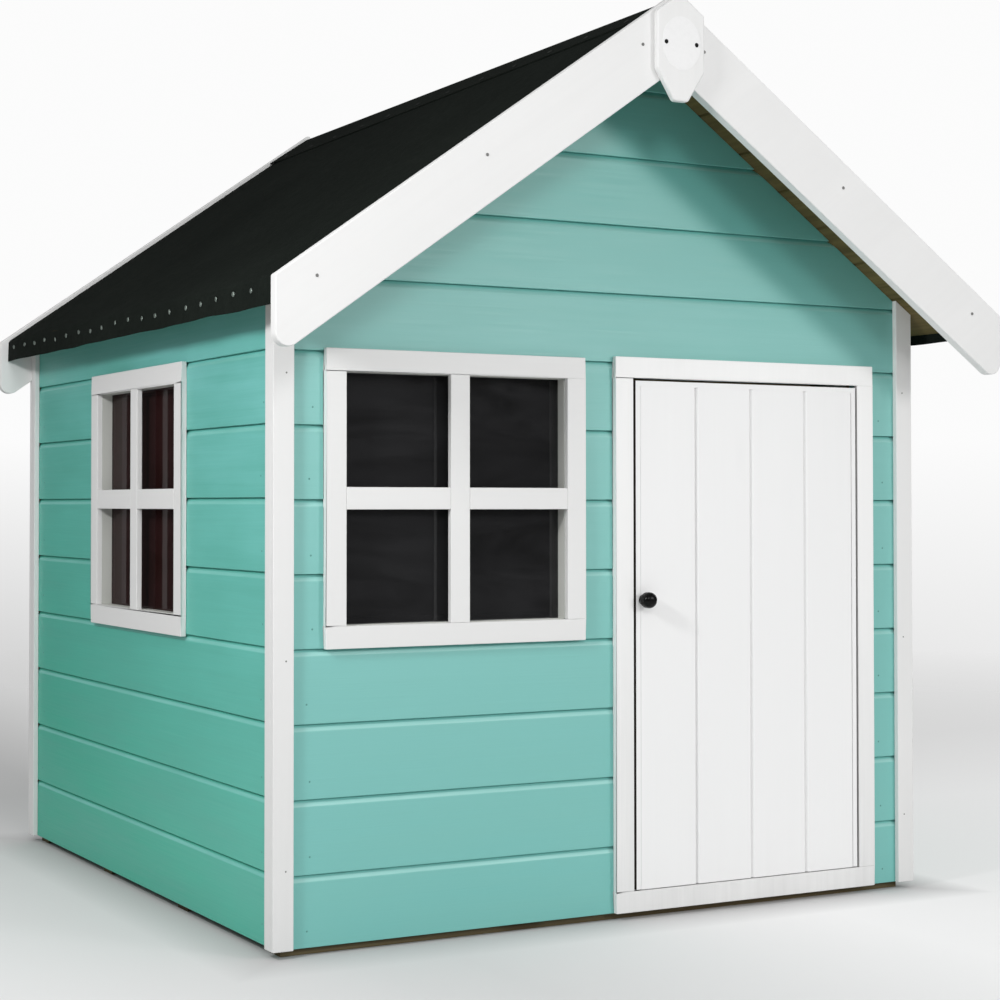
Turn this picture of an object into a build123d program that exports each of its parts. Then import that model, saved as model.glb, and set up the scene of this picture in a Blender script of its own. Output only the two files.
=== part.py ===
"""A small timber playhouse: framed panels, shiplap walls, felted gable roof, plank door.

Units are millimetres.  +X is right as seen from the front, +Y goes to the back and +Z up.
The origin is on the ground at the middle of the overall box.
"""
from build123d import *
import math
import os

# ---------------------------------------------------------------- driving dimensions
# Plan: distance between the outer faces of opposite cladding
WALL_W = 1204.0
WALL_D = 1204.0
# Height of the roof boards' underside over the side walls' outer faces
WALL_H = 1013.8

# Shiplap cladding
CLAD_T = 12.0
CLAD_PITCH = 112.0
CLAD_DATUM_Z = 8.0
CLAD_BOTTOM_Z = 12.0
CLAD_LAP = 10.0
CLAD_LAP_GAP = 0.5
CLAD_TONGUE_T = 5.0
CLAD_COVE_H = 12.0
COVE_MID_IN = 0.3
COVE_MID_DOWN = 0.55
SIDE_GROOVE_LIFT = 3.0

# Softwood framing and base
FRAME_T = 28.0
BEARER_W = 44.0
BEARER_H = 28.0
BEARER_COUNT = 4
FLOOR_T = 12.0
FLOOR_BOARD_COUNT = 12
FLOOR_V = 2.0

# Cover strips, window and door surrounds
TRIM_W = 34.0
TRIM_T = 10.0
SIDE_STRIP_W = 22.0

# Square windows: clear opening, sill height and places along their walls
WINDOW_W = 391.0
WINDOW_H = 385.0
WINDOW_SILL_Z = 489.0
FRONT_WINDOW_X = -296.0
SIDE_WINDOW_FROM_MIDDLE = 3.0
PANE_T = 3.0
PANE_SET_BACK = 18.4
BEAD_W = 10.0

# Doorway and door leaf
DOOR_X = 258.0
DOOR_OPENING_W = 465.0
DOOR_SILL_Z = 46.0
DOOR_HEAD_Z = 878.5
DOOR_GAP_LATCH = 4.0
DOOR_GAP_HINGE = 5.0
DOOR_GAP_TOP = 4.5
DOOR_GAP_BOTTOM = 1.5
LEAF_BOARD_T = 12.0
LEAF_FRAME_T = 18.0
LEAF_RIM = 8.5
LEAF_BOARD_PITCH = 113.5
LEAF_FIRST_BOARD_W = 111.5
LEAF_V = 4.0
LEAF_EDGE_V = 1.0
LEAF_STILE_W = 60.0
LEAF_RAIL_H = 70.0
LEAF_MID_RAIL_Z = 430.0
LEAF_FRAME_LIFT = 0.5
STOP_W = 12.5
STOP_T = 12.0
STOP_GAP = 0.3
STOP_SWING_GAP = 2.0

# Concealed pivot pins of the door
PIVOT_FROM_EDGE = 34.0
PIVOT_FROM_FACE = 18.0
PIN_D = 6.0
PIN_CLEARANCE = 0.05
PIN_REACH = 26.0
BUSH_D = 9.0
BUSH_L = 24.0
BORE_END_GAP = 4.0
PLATE_T = 2.0
PLATE_L = 44.0
PLATE_FRONT = 7.0
PLATE_BACK = 22.0
COLLAR_D = 11.0
COLLAR_GAP = 0.3

# Knob
KNOB_FROM_EDGE = 14.0
KNOB_Z = 517.0
KNOB_D = 26.0
KNOB_L = 28.0
KNOB_NECK_D = 10.0
KNOB_ROSE_D = 17.0
KNOB_ROSE_T = 2.5
KNOB_RIM_T = 3.0
KNOB_BORE_L = 14.0
KNOB_SCREW_D = 4.0
KNOB_SCREW_GRIP = 13.0
KNOB_SCREW_HEAD_D = 9.0
KNOB_SCREW_HEAD_T = 1.5
SCREW_CLEARANCE = 0.1

# Roof
ROOF_PITCH = 35.0
ROOF_BOARD_T = 19.0
ROOF_BOARD_COUNT = 8
ROOF_BOARD_V = 3.0
ROOF_OVERHANG_SIDE = 56.5
ROOF_OVERHANG_FRONT = 145.0
RAFTER_W = 28.0
RAFTER_H = 44.0
RAFTER_COUNT = 2
FELT_T = 2.5
FELT_FLAP_DROP = 16.7
RIDGE_CAP_HALF_W = 70.0
RIDGE_CAP_T = 3.0
EAVE_NAIL_PITCH = 66.7
EAVE_NAIL_FROM_BACK = 44.0
EAVE_NAIL_D = 9.0
EAVE_NAIL_HEAD_T = 1.2
EAVE_NAIL_DROP = 15.0
CAP_NAIL_COUNT = 12
CAP_NAIL_INSET = 14.0

# Bargeboards and finial
BARGE_T = 18.0
BARGE_H = 97.5
BARGE_RISE = 5.5
BARGE_OVERHANG = 74.0
BARGE_ROUND = 20.0
FINIAL_X = 6.0
FINIAL_W = 88.5
FINIAL_T = 12.0
FINIAL_TAPER_DROP = 120.3
FINIAL_BOTTOM_DROP = 169.3
FINIAL_BOTTOM_W = 26.0
FINIAL_SCREW_DROP = 78.3
FINIAL_SCREW_PITCH = 57.0
FINIAL_SCREW_D = 8.0
FINIAL_SCREW_HEAD_T = 2.0
FINIAL_ROUND = 8.0
DISC_D = 46.0
DISC_T = 0.8
BARGE_NAIL_D = 5.0
BARGE_NAIL_HEAD_T = 0.6
BARGE_NAIL_FROM_RIDGE = 58.0
BARGE_NAIL_FROM_END = 64.0
BARGE_NAIL_COUNT = 3
BARGE_NAIL_LIFT = 13.0

# Magnetic catch
CATCH_L = 40.0
CATCH_T = 12.0
CATCH_H = 18.0
CATCH_X_FROM_LATCH = 34.0
CATCH_GAP = 0.3
STRIKE_L = 30.0
STRIKE_H = 14.0
STRIKE_T = 1.5
STRIKE_DROP = 2.0

# ---------------------------------------------------------------- derived places
TAN = math.tan(math.radians(ROOF_PITCH))
COS = math.cos(math.radians(ROOF_PITCH))
SIN = math.sin(math.radians(ROOF_PITCH))
SIN45 = math.sin(math.radians(45))
ROOF_APEX_Z = WALL_H + TAN * WALL_W / 2
ROOF_EAVE_X = WALL_W / 2 + ROOF_OVERHANG_SIDE
BARGE_END_X = WALL_W / 2 + BARGE_OVERHANG

FRONT_REACH = ROOF_OVERHANG_FRONT + BARGE_T + FINIAL_T + FINIAL_SCREW_HEAD_T
BACK_REACH = BARGE_T + BARGE_NAIL_HEAD_T
FRONT_Y = (FRONT_REACH - WALL_D - BACK_REACH) / 2
BACK_Y = FRONT_Y + WALL_D
MIDDLE_Y = FRONT_Y + WALL_D / 2

PANEL_T = CLAD_T + FRAME_T
FLOOR_Z = BEARER_H + FLOOR_T
INNER_W = WALL_W - 2 * CLAD_T
INNER_D = WALL_D - 2 * CLAD_T
SIDE_FRAME_L = WALL_D - 2 * PANEL_T
FRAME_DROP = FRAME_T / COS
FELT_TOP = ROOF_BOARD_T + FELT_T
BARGE_TOP = FELT_TOP + BARGE_RISE
BARGE_LOW = BARGE_TOP - BARGE_H
EAVE_PLATE_Z = ROOF_APEX_Z - TAN * INNER_W / 2

WINDOW_HEAD_Z = WINDOW_SILL_Z + WINDOW_H
DOOR_X0 = DOOR_X - DOOR_OPENING_W / 2
DOOR_X1 = DOOR_X + DOOR_OPENING_W / 2
LEAF_X0 = DOOR_X0 + DOOR_GAP_LATCH
LEAF_X1 = DOOR_X1 - DOOR_GAP_HINGE
LEAF_Z0 = DOOR_SILL_Z + DOOR_GAP_BOTTOM
LEAF_Z1 = DOOR_HEAD_Z - DOOR_GAP_TOP
LEAF_FACE = -TRIM_T
LEAF_T = LEAF_BOARD_T + LEAF_FRAME_T
LEAF_BACK = LEAF_FACE + LEAF_T
LEAF_FRAME_Z0 = LEAF_Z0 + LEAF_FRAME_LIFT
PIVOT_X = LEAF_X1 - PIVOT_FROM_EDGE
PIVOT_Y = LEAF_FACE + PIVOT_FROM_FACE
PIVOT_SWEEP = math.hypot(PIVOT_FROM_EDGE, PIVOT_FROM_FACE)
STOP_Y = LEAF_BACK + STOP_GAP
KNOB_X = LEAF_X0 + KNOB_FROM_EDGE

ROOF_FRONT_Y = FRONT_Y - ROOF_OVERHANG_FRONT
ROOF_L = ROOF_OVERHANG_FRONT + WALL_D


# ---------------------------------------------------------------- helpers
def block(x0, x1, y0, y1, z0, z1):
    """A box from its low and high corners."""
    size = Box(x1 - x0, y1 - y0, z1 - z0, align=(Align.MIN, Align.MIN, Align.MIN))
    return Pos(x0, y0, z0) * size


def rod(x, y0, z, diameter, length):
    """A round bar along +Y, from y0."""
    return Pos(x, y0, z) * Rot(-90, 0, 0) * Cylinder(
        diameter / 2, length, align=(Align.CENTER, Align.CENTER, Align.MIN))


def pin(x, y, z0, diameter, length):
    """A round bar along +Z, from z0."""
    return Pos(x, y, z0) * Cylinder(
        diameter / 2, length, align=(Align.CENTER, Align.CENTER, Align.MIN))


def slab_xz(points, y0, length):
    """A prism along +Y whose section is a polygon of (x, z) points."""
    outline = Wire.make_polygon([(x, y0, z) for x, z in points])
    return extrude(Face(outline), amount=length, dir=(0, 1, 0))


def roof_z(x, lift=0.0):
    """Height at x of the plane that lies `lift` above the roof boards' underside."""
    return ROOF_APEX_Z + lift / COS - TAN * abs(x)


def under_roof(half_width, y0, length, drop=0.0):
    """The space under the roof boards, `drop` lower, as a tall five-sided prism."""
    eave = roof_z(half_width) - drop
    outline = [(-half_width, 0), (half_width, 0), (half_width, eave),
               (0, ROOF_APEX_Z - drop), (-half_width, eave)]
    return slab_xz(outline, y0, length)


def mirrored(shape):
    """The same piece on the other side of the ridge."""
    return mirror(shape, about=Plane.YZ)


def pieces(shape):
    """The separate solids of a shape, as a list."""
    return list(shape.solids())


WALLS = {
    "front": Pos(0, FRONT_Y, 0),
    "back": Pos(0, BACK_Y, 0) * Rot(0, 0, 180),
    "left": Pos(-WALL_W / 2, MIDDLE_Y, 0) * Rot(0, 0, -90),
    "right": Pos(WALL_W / 2, MIDDLE_Y, 0) * Rot(0, 0, 90),
}


def on_wall(side, shapes):
    """Pieces in a wall's own frame (x along it, -y outward) moved to that wall."""
    return [WALLS[side] * shape for shape in shapes]


def save(node, shapes):
    """Write one node: each piece stays a separate solid."""
    solids = [solid for shape in shapes for solid in shape.solids()]
    body = solids[0] if len(solids) == 1 else Compound(children=solids)
    body.label = node
    export_step(body, f"parts/{node}.step")


# ---------------------------------------------------------------- cladding
def shiplap_board(x0, x1, z0, z1, bottom):
    """One board: lapped lower edge, scooped and tongued upper edge."""
    lap_y = CLAD_T - CLAD_TONGUE_T
    lip_y = lap_y - CLAD_LAP_GAP
    cove_mid = (COVE_MID_IN * lap_y, z1 - COVE_MID_DOWN * CLAD_COVE_H)
    rebate_z = z0 + CLAD_LAP
    if bottom > z0:
        low = [(CLAD_T, bottom), (0, bottom)]
    else:
        low = [(CLAD_T, rebate_z), (lip_y, rebate_z), (lip_y, z0), (0, z0)]
    tongue_z = z1 + CLAD_LAP - CLAD_LAP_GAP
    cove = ThreePointArc((x0, 0, z1 - CLAD_COVE_H), (x0, cove_mid[0], cove_mid[1]), (x0, lap_y, z1))
    corners = [(lap_y, z1), (lap_y, tongue_z), (CLAD_T, tongue_z)] + low + [(0, z1 - CLAD_COVE_H)]
    edges = [Line((x0, *a), (x0, *b)) for a, b in zip(corners, corners[1:])]
    return extrude(Face(Wire(edges + [cove])), amount=x1 - x0, dir=(1, 0, 0))


def clad(half_width, lift, top, openings=()):
    """All the boards of one wall, cut to its top and round its openings."""
    boards = []
    count = math.ceil((top.bounding_box().max.Z - CLAD_DATUM_Z - lift) / CLAD_PITCH)
    for index in range(count):
        z0 = CLAD_DATUM_Z + index * CLAD_PITCH + (lift if index else 0)
        z1 = CLAD_DATUM_Z + (index + 1) * CLAD_PITCH + lift
        board = shiplap_board(-half_width, half_width, z0, z1, CLAD_BOTTOM_Z) & top
        for opening in openings:
            board = board - opening
        boards += pieces(board)
    return boards


def bends_round(board, openings):
    """True if a board reaches past an opening on two sides, so it is notched for it."""
    box = board.bounding_box()
    for opening in openings:
        hole = opening.bounding_box()
        if (box.min.X < hole.max.X - CLAD_LAP_GAP and box.max.X > hole.min.X + CLAD_LAP_GAP
                and box.min.Z < hole.max.Z - CLAD_LAP_GAP and box.max.Z > hole.min.Z + CLAD_LAP_GAP):
            return True
    return False


def save_cladding(side, boards, openings=()):
    """One node of plain boards and, round openings, one of notched boards."""
    notched = [board for board in boards if bends_round(board, openings)]
    plain = [board for board in boards if not bends_round(board, openings)]
    save(f"cladding_{side}", on_wall(side, plain))
    if notched:
        save(f"cladding_{side}_notched", on_wall(side, notched))


def window_hole(x):
    """The clear opening of a window through a wall panel."""
    return block(x - WINDOW_W / 2, x + WINDOW_W / 2, -TRIM_T, PANEL_T, WINDOW_SILL_Z, WINDOW_HEAD_Z)


def make_cladding():
    gable = under_roof(WALL_W / 2, 0, CLAD_T)
    eave_top = roof_z(WALL_W / 2)
    side_half = WALL_D / 2 - CLAD_T
    side = block(-side_half, side_half, 0, CLAD_T, 0, eave_top)
    door = block(DOOR_X0, DOOR_X1, 0, CLAD_T, 0, DOOR_HEAD_Z)
    front_holes = (door, window_hole(FRONT_WINDOW_X))
    left_holes = (window_hole(SIDE_WINDOW_FROM_MIDDLE),)
    save_cladding("front", clad(WALL_W / 2, 0, gable, front_holes), front_holes)
    save_cladding("left", clad(side_half, SIDE_GROOVE_LIFT, side, left_holes), left_holes)
    save_cladding("back", clad(WALL_W / 2, 0, gable))
    save_cladding("right", clad(side_half, SIDE_GROOVE_LIFT, side))


# ---------------------------------------------------------------- wall frames
def frame_block(x0, x1, z0, z1):
    """One stick of a wall frame, behind the cladding."""
    return block(x0, x1, CLAD_T, PANEL_T, z0, z1)


def gable_rafters():
    """The two sloping top members of a gable frame, mitred at the ridge."""
    outline = [(0, roof_z(0) - FRAME_DROP), (INNER_W / 2, roof_z(INNER_W / 2) - FRAME_DROP),
               (INNER_W / 2, roof_z(INNER_W / 2)), (0, roof_z(0))]
    rafter = slab_xz(outline, CLAD_T, FRAME_T)
    return [rafter, mirrored(rafter)]


def gable_studs(places):
    """Upright studs by their left faces, cut to the gable rafters' underside."""
    limit = under_roof(INNER_W / 2, CLAD_T, FRAME_T, FRAME_DROP)
    rail_top = FLOOR_Z + FRAME_T
    return [frame_block(x, x + FRAME_T, rail_top, ROOF_APEX_Z) & limit for x in places]


def window_rails(x):
    """The rails under and over a window."""
    x0 = x - WINDOW_W / 2
    x1 = x + WINDOW_W / 2
    return [frame_block(x0, x1, WINDOW_SILL_Z - FRAME_T, WINDOW_SILL_Z),
            frame_block(x0, x1, WINDOW_HEAD_Z, WINDOW_HEAD_Z + FRAME_T)]


def front_frame():
    rail_top = FLOOR_Z + FRAME_T
    window_x0 = FRONT_WINDOW_X - WINDOW_W / 2
    window_x1 = FRONT_WINDOW_X + WINDOW_W / 2
    studs = gable_studs((-INNER_W / 2, window_x0 - FRAME_T, window_x1,
                         DOOR_X0 - FRAME_T, DOOR_X1, INNER_W / 2 - FRAME_T))
    rails = [frame_block(-INNER_W / 2, DOOR_X0 - FRAME_T, FLOOR_Z, rail_top),
             frame_block(DOOR_X1 + FRAME_T, INNER_W / 2, FLOOR_Z, rail_top),
             frame_block(DOOR_X0, DOOR_X1, DOOR_HEAD_Z, DOOR_HEAD_Z + FRAME_T)]
    feet = [frame_block(DOOR_X0 - FRAME_T, DOOR_X0, FLOOR_Z, rail_top),
            frame_block(DOOR_X1, DOOR_X1 + FRAME_T, FLOOR_Z, rail_top)]
    return studs + rails + feet + window_rails(FRONT_WINDOW_X) + gable_rafters()


def back_frame():
    middle = (-WALL_W / 6, WALL_W / 6 - FRAME_T)
    studs = gable_studs((-INNER_W / 2, *middle, INNER_W / 2 - FRAME_T))
    rail = frame_block(-INNER_W / 2, INNER_W / 2, FLOOR_Z, FLOOR_Z + FRAME_T)
    return studs + [rail] + mid_rails((-INNER_W / 2, *middle, INNER_W / 2 - FRAME_T)) + gable_rafters()


def mid_rails(studs):
    """Rails between neighbouring studs, level with the window sills."""
    return [frame_block(a + FRAME_T, b, WINDOW_SILL_Z - FRAME_T, WINDOW_SILL_Z)
            for a, b in zip(studs, studs[1:])]


def side_frame(window_x=None):
    half = SIDE_FRAME_L / 2
    rail_top = FLOOR_Z + FRAME_T
    plate_z = EAVE_PLATE_Z - FRAME_T
    if window_x is None:
        places = (-half, -half / 3, half / 3 - FRAME_T, half - FRAME_T)
        rails = mid_rails(places)
    else:
        places = (-half, window_x - WINDOW_W / 2 - FRAME_T, window_x + WINDOW_W / 2, half - FRAME_T)
        rails = window_rails(window_x)
    studs = [frame_block(x, x + FRAME_T, rail_top, plate_z) for x in places]
    ends = [frame_block(-half, half, FLOOR_Z, rail_top), frame_block(-half, half, plate_z, EAVE_PLATE_Z)]
    return studs + ends + rails


def make_frames():
    save("frame_front", on_wall("front", front_frame()))
    save("frame_back", on_wall("back", back_frame()))
    save("frame_left", on_wall("left", side_frame(SIDE_WINDOW_FROM_MIDDLE)))
    save("frame_right", on_wall("right", side_frame()))


# ---------------------------------------------------------------- base
def make_base():
    y0 = FRONT_Y + CLAD_T
    y1 = BACK_Y - CLAD_T
    step = (INNER_D - BEARER_W) / (BEARER_COUNT - 1)
    bearers = [block(-INNER_W / 2, INNER_W / 2, y0 + i * step, y0 + i * step + BEARER_W, 0, BEARER_H)
               for i in range(BEARER_COUNT)]
    save("base_bearers", bearers)
    board_w = INNER_W / FLOOR_BOARD_COUNT
    boards = []
    for index in range(FLOOR_BOARD_COUNT):
        x0 = -INNER_W / 2 + index * board_w
        x1 = x0 + board_w
        outline = [(x0, BEARER_H), (x1, BEARER_H), (x1, FLOOR_Z - FLOOR_V),
                   (x1 - FLOOR_V, FLOOR_Z), (x0 + FLOOR_V, FLOOR_Z), (x0, FLOOR_Z - FLOOR_V)]
        boards.append(slab_xz(outline, y0, y1 - y0))
    save("floor_boards", boards)


# ---------------------------------------------------------------- cover strips and surrounds
def corner_strip(drop):
    """A strip over the left end of a gable wall, cut to the roof slope `drop` below the boards."""
    edge = WALL_W / 2 + TRIM_T
    strip = block(-edge, TRIM_W - edge, -TRIM_T, 0, CLAD_BOTTOM_Z, ROOF_APEX_Z)
    return strip & under_roof(edge, -TRIM_T, TRIM_T, drop)


def make_corner_strips():
    front = corner_strip(0)
    back = corner_strip(-BARGE_LOW / COS)
    save("corner_strips_front", on_wall("front", [front, mirrored(front)]))
    save("corner_strips_back", on_wall("back", [back, mirrored(back)]))
    half = WALL_W / 2
    eave = [(half, CLAD_BOTTOM_Z), (half + TRIM_T, CLAD_BOTTOM_Z),
            (half + TRIM_T, roof_z(half + TRIM_T)), (half, roof_z(half))]
    sides = [slab_xz(eave, y, SIDE_STRIP_W) for y in (FRONT_Y, BACK_Y - SIDE_STRIP_W)]
    save("corner_strips_side", sides + [mirrored(strip) for strip in sides])


def window_surround(x):
    """Head and sill strips over the full width, with a strip on each side between them."""
    x0 = x - WINDOW_W / 2
    x1 = x + WINDOW_W / 2
    z0 = WINDOW_SILL_Z
    z1 = WINDOW_HEAD_Z
    return [block(x0 - TRIM_W, x1 + TRIM_W, -TRIM_T, 0, z1, z1 + TRIM_W),
            block(x0 - TRIM_W, x1 + TRIM_W, -TRIM_T, 0, z0 - TRIM_W, z0),
            block(x0 - TRIM_W, x0, -TRIM_T, 0, z0, z1),
            block(x1, x1 + TRIM_W, -TRIM_T, 0, z0, z1)]


def glazing_bars(x):
    """Two crossing bars, half-lapped where they meet."""
    half = TRIM_W / 2
    middle_z = WINDOW_SILL_Z + WINDOW_H / 2
    lap = -TRIM_T / 2
    upright = block(x - half, x + half, -TRIM_T, 0, WINDOW_SILL_Z, WINDOW_HEAD_Z)
    level = block(x - WINDOW_W / 2, x + WINDOW_W / 2, -TRIM_T, 0, middle_z - half, middle_z + half)
    crossing = block(x - half, x + half, -TRIM_T, 0, middle_z - half, middle_z + half)
    front_half = block(x - half, x + half, -TRIM_T, lap, middle_z - half, middle_z + half)
    return [upright - (crossing - front_half), level - front_half]


def pane(x):
    return block(x - WINDOW_W / 2, x + WINDOW_W / 2, PANE_SET_BACK, PANE_SET_BACK + PANE_T,
                 WINDOW_SILL_Z, WINDOW_HEAD_Z)


def pane_beads(x):
    """Square beads that hold the pane from inside."""
    x0 = x - WINDOW_W / 2
    x1 = x + WINDOW_W / 2
    y0 = PANE_SET_BACK + PANE_T
    y1 = y0 + BEAD_W
    z0 = WINDOW_SILL_Z
    z1 = WINDOW_HEAD_Z
    return [block(x0, x1, y0, y1, z0, z0 + BEAD_W), block(x0, x1, y0, y1, z1 - BEAD_W, z1),
            block(x0, x0 + BEAD_W, y0, y1, z0 + BEAD_W, z1 - BEAD_W),
            block(x1 - BEAD_W, x1, y0, y1, z0 + BEAD_W, z1 - BEAD_W)]


def make_windows():
    for side, x in (("front", FRONT_WINDOW_X), ("left", SIDE_WINDOW_FROM_MIDDLE)):
        save(f"window_surround_{side}", on_wall(side, window_surround(x)))
        save(f"glazing_bars_{side}", on_wall(side, glazing_bars(x)))
        save(f"window_pane_{side}", on_wall(side, [pane(x)]))
        save(f"pane_beads_{side}", on_wall(side, pane_beads(x)))


# ---------------------------------------------------------------- doorway
def make_doorway():
    surround = [block(DOOR_X0 - TRIM_W, DOOR_X1 + TRIM_W, -TRIM_T, 0, DOOR_HEAD_Z, DOOR_HEAD_Z + TRIM_W),
                block(DOOR_X0 - TRIM_W, DOOR_X1 + TRIM_W, -TRIM_T, 0, CLAD_BOTTOM_Z, DOOR_SILL_Z),
                block(DOOR_X0 - TRIM_W, DOOR_X0, -TRIM_T, 0, DOOR_SILL_Z, DOOR_HEAD_Z),
                block(DOOR_X1, DOOR_X1 + TRIM_W, -TRIM_T, 0, DOOR_SILL_Z, DOOR_HEAD_Z)]
    save("door_surround", on_wall("front", surround))

    plate_bed = block(PIVOT_X - PLATE_L / 2, PIVOT_X + PLATE_L / 2, PIVOT_Y - PLATE_FRONT,
                      PIVOT_Y + PLATE_BACK, DOOR_SILL_Z - PLATE_T, DOOR_SILL_Z)
    threshold = (block(DOOR_X0, DOOR_X1, 0, CLAD_T, CLAD_BOTTOM_Z, DOOR_SILL_Z)
                 + block(DOOR_X0, DOOR_X1, CLAD_T, PANEL_T, FLOOR_Z, DOOR_SILL_Z)) - plate_bed
    save("door_threshold", on_wall("front", [threshold]))

    head_stop_end = PIVOT_X - PIVOT_SWEEP - STOP_SWING_GAP
    stops = [block(DOOR_X0, DOOR_X0 + STOP_W, STOP_Y, STOP_Y + STOP_T, DOOR_SILL_Z, DOOR_HEAD_Z),
             block(DOOR_X0 + STOP_W, head_stop_end, STOP_Y, STOP_Y + STOP_T,
                   DOOR_HEAD_Z - STOP_W, DOOR_HEAD_Z)]
    save("door_stops", on_wall("front", stops))

    catch_x = DOOR_X0 + CATCH_X_FROM_LATCH
    catch_y = LEAF_BACK + STRIKE_T + CATCH_GAP
    catch_z = DOOR_HEAD_Z - STOP_W
    catch = block(catch_x, catch_x + CATCH_L, catch_y, catch_y + CATCH_T, catch_z - CATCH_H, catch_z)
    save("catch_magnet", on_wall("front", [catch]))

    collar_l = LEAF_FRAME_Z0 - DOOR_SILL_Z - COLLAR_GAP
    bottom = plate_bed + pin(PIVOT_X, PIVOT_Y, DOOR_SILL_Z, COLLAR_D, collar_l)
    bottom = bottom + pin(PIVOT_X, PIVOT_Y, DOOR_SILL_Z, PIN_D, PIN_REACH)
    top = block(PIVOT_X - PLATE_L / 2, PIVOT_X + PLATE_L / 2, PIVOT_Y - PLATE_FRONT,
                PIVOT_Y + PLATE_BACK, DOOR_HEAD_Z - PLATE_T, DOOR_HEAD_Z)
    top = top + pin(PIVOT_X, PIVOT_Y, DOOR_HEAD_Z - PIN_REACH, PIN_D, PIN_REACH)
    save("pivot_bottom", on_wall("front", [bottom]))
    save("pivot_top", on_wall("front", [top]))


# ---------------------------------------------------------------- door leaf
def leaf_boards():
    """Upright tongued boards with V joints, inside the rim of the leaf's frame."""
    x0 = LEAF_X0 + LEAF_RIM
    x1 = LEAF_X1 - LEAF_RIM
    joints = [x0, x0 + LEAF_FIRST_BOARD_W]
    while joints[-1] + LEAF_BOARD_PITCH < x1:
        joints.append(joints[-1] + LEAF_BOARD_PITCH)
    joints.append(x1)
    back = LEAF_FACE + LEAF_BOARD_T
    boards = []
    for a, b in zip(joints, joints[1:]):
        left_v = LEAF_V if a > x0 else LEAF_EDGE_V
        right_v = LEAF_V if b < x1 else LEAF_EDGE_V
        outline = Wire.make_polygon([(a, back, LEAF_Z0), (b, back, LEAF_Z0),
                                     (b, LEAF_FACE + right_v, LEAF_Z0), (b - right_v, LEAF_FACE, LEAF_Z0),
                                     (a + left_v, LEAF_FACE, LEAF_Z0), (a, LEAF_FACE + left_v, LEAF_Z0)])
        boards.append(extrude(Face(outline), amount=LEAF_Z1 - LEAF_RIM - LEAF_Z0, dir=(0, 0, 1)))
    return boards


def leaf_bore(z0, length):
    return pin(PIVOT_X, PIVOT_Y, z0, BUSH_D, length)


def make_leaf():
    knob_hole = rod(KNOB_X, LEAF_FACE, KNOB_Z, KNOB_SCREW_D + 2 * SCREW_CLEARANCE, LEAF_T)
    save("door_boards", on_wall("front", [board - knob_hole for board in leaf_boards()]))

    field = block(LEAF_X0 + LEAF_RIM, LEAF_X1 - LEAF_RIM, LEAF_FACE, LEAF_FACE + LEAF_BOARD_T,
                  0, LEAF_Z1 - LEAF_RIM)
    mid_y = LEAF_FACE + LEAF_BOARD_T
    inner_x0 = LEAF_X0 + LEAF_STILE_W
    inner_x1 = LEAF_X1 - LEAF_STILE_W
    bore_l = BUSH_L + BORE_END_GAP
    bottom_bore = leaf_bore(LEAF_FRAME_Z0, bore_l)
    top_bore = leaf_bore(LEAF_Z1 - bore_l, bore_l)
    latch_stile = block(LEAF_X0, inner_x0, LEAF_FACE, LEAF_BACK, LEAF_FRAME_Z0, LEAF_Z1) - field - knob_hole
    hinge_stile = block(inner_x1, LEAF_X1, LEAF_FACE, LEAF_BACK, LEAF_FRAME_Z0, LEAF_Z1) - field
    hinge_stile = hinge_stile - bottom_bore - top_bore
    top_rail = block(inner_x0, inner_x1, LEAF_FACE, LEAF_BACK, LEAF_Z1 - LEAF_RAIL_H, LEAF_Z1) - field
    mid_rail = block(inner_x0, inner_x1, mid_y, LEAF_BACK, LEAF_MID_RAIL_Z, LEAF_MID_RAIL_Z + LEAF_RAIL_H)
    bottom_rail = block(inner_x0, inner_x1, mid_y, LEAF_BACK, LEAF_FRAME_Z0, LEAF_FRAME_Z0 + LEAF_RAIL_H)
    save("door_frame", on_wall("front", [latch_stile, hinge_stile, top_rail, mid_rail, bottom_rail]))

    running = pin(PIVOT_X, PIVOT_Y, 0, PIN_D + 2 * PIN_CLEARANCE, DOOR_HEAD_Z)
    low_bush = leaf_bore(LEAF_FRAME_Z0, BUSH_L) - running
    high_bush = leaf_bore(LEAF_Z1 - BUSH_L, BUSH_L) - running
    save("door_bushes", on_wall("front", [low_bush, high_bush]))

    strike_x = DOOR_X0 + CATCH_X_FROM_LATCH + (CATCH_L - STRIKE_L) / 2
    strike_z = DOOR_HEAD_Z - STOP_W - STRIKE_DROP
    strike = block(strike_x, strike_x + STRIKE_L, LEAF_BACK, LEAF_BACK + STRIKE_T,
                   strike_z - STRIKE_H, strike_z)
    save("catch_strike", on_wall("front", [strike]))


def knob_section():
    """Half section of the knob: (distance from its axis, distance from the door's face)."""
    radius = KNOB_D / 2
    neck = KNOB_NECK_D / 2
    rose = KNOB_ROSE_D / 2
    bore = KNOB_SCREW_D / 2 + SCREW_CLEARANCE
    dome = KNOB_L - radius
    corners = [(bore, 0), (rose, 0), (rose, KNOB_ROSE_T), (neck, KNOB_ROSE_T),
               (neck, dome - KNOB_RIM_T), (radius, dome - KNOB_RIM_T), (radius, dome)]
    crown = ThreePointArc((radius, dome), (radius * SIN45, dome + radius * SIN45), (0, KNOB_L))
    closing = [(0, KNOB_L), (0, KNOB_BORE_L), (bore, KNOB_BORE_L), (bore, 0)]
    edges = [Line(a, b) for a, b in zip(corners, corners[1:])]
    edges += [crown] + [Line(a, b) for a, b in zip(closing, closing[1:])]
    return Face(Wire(edges))


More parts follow.
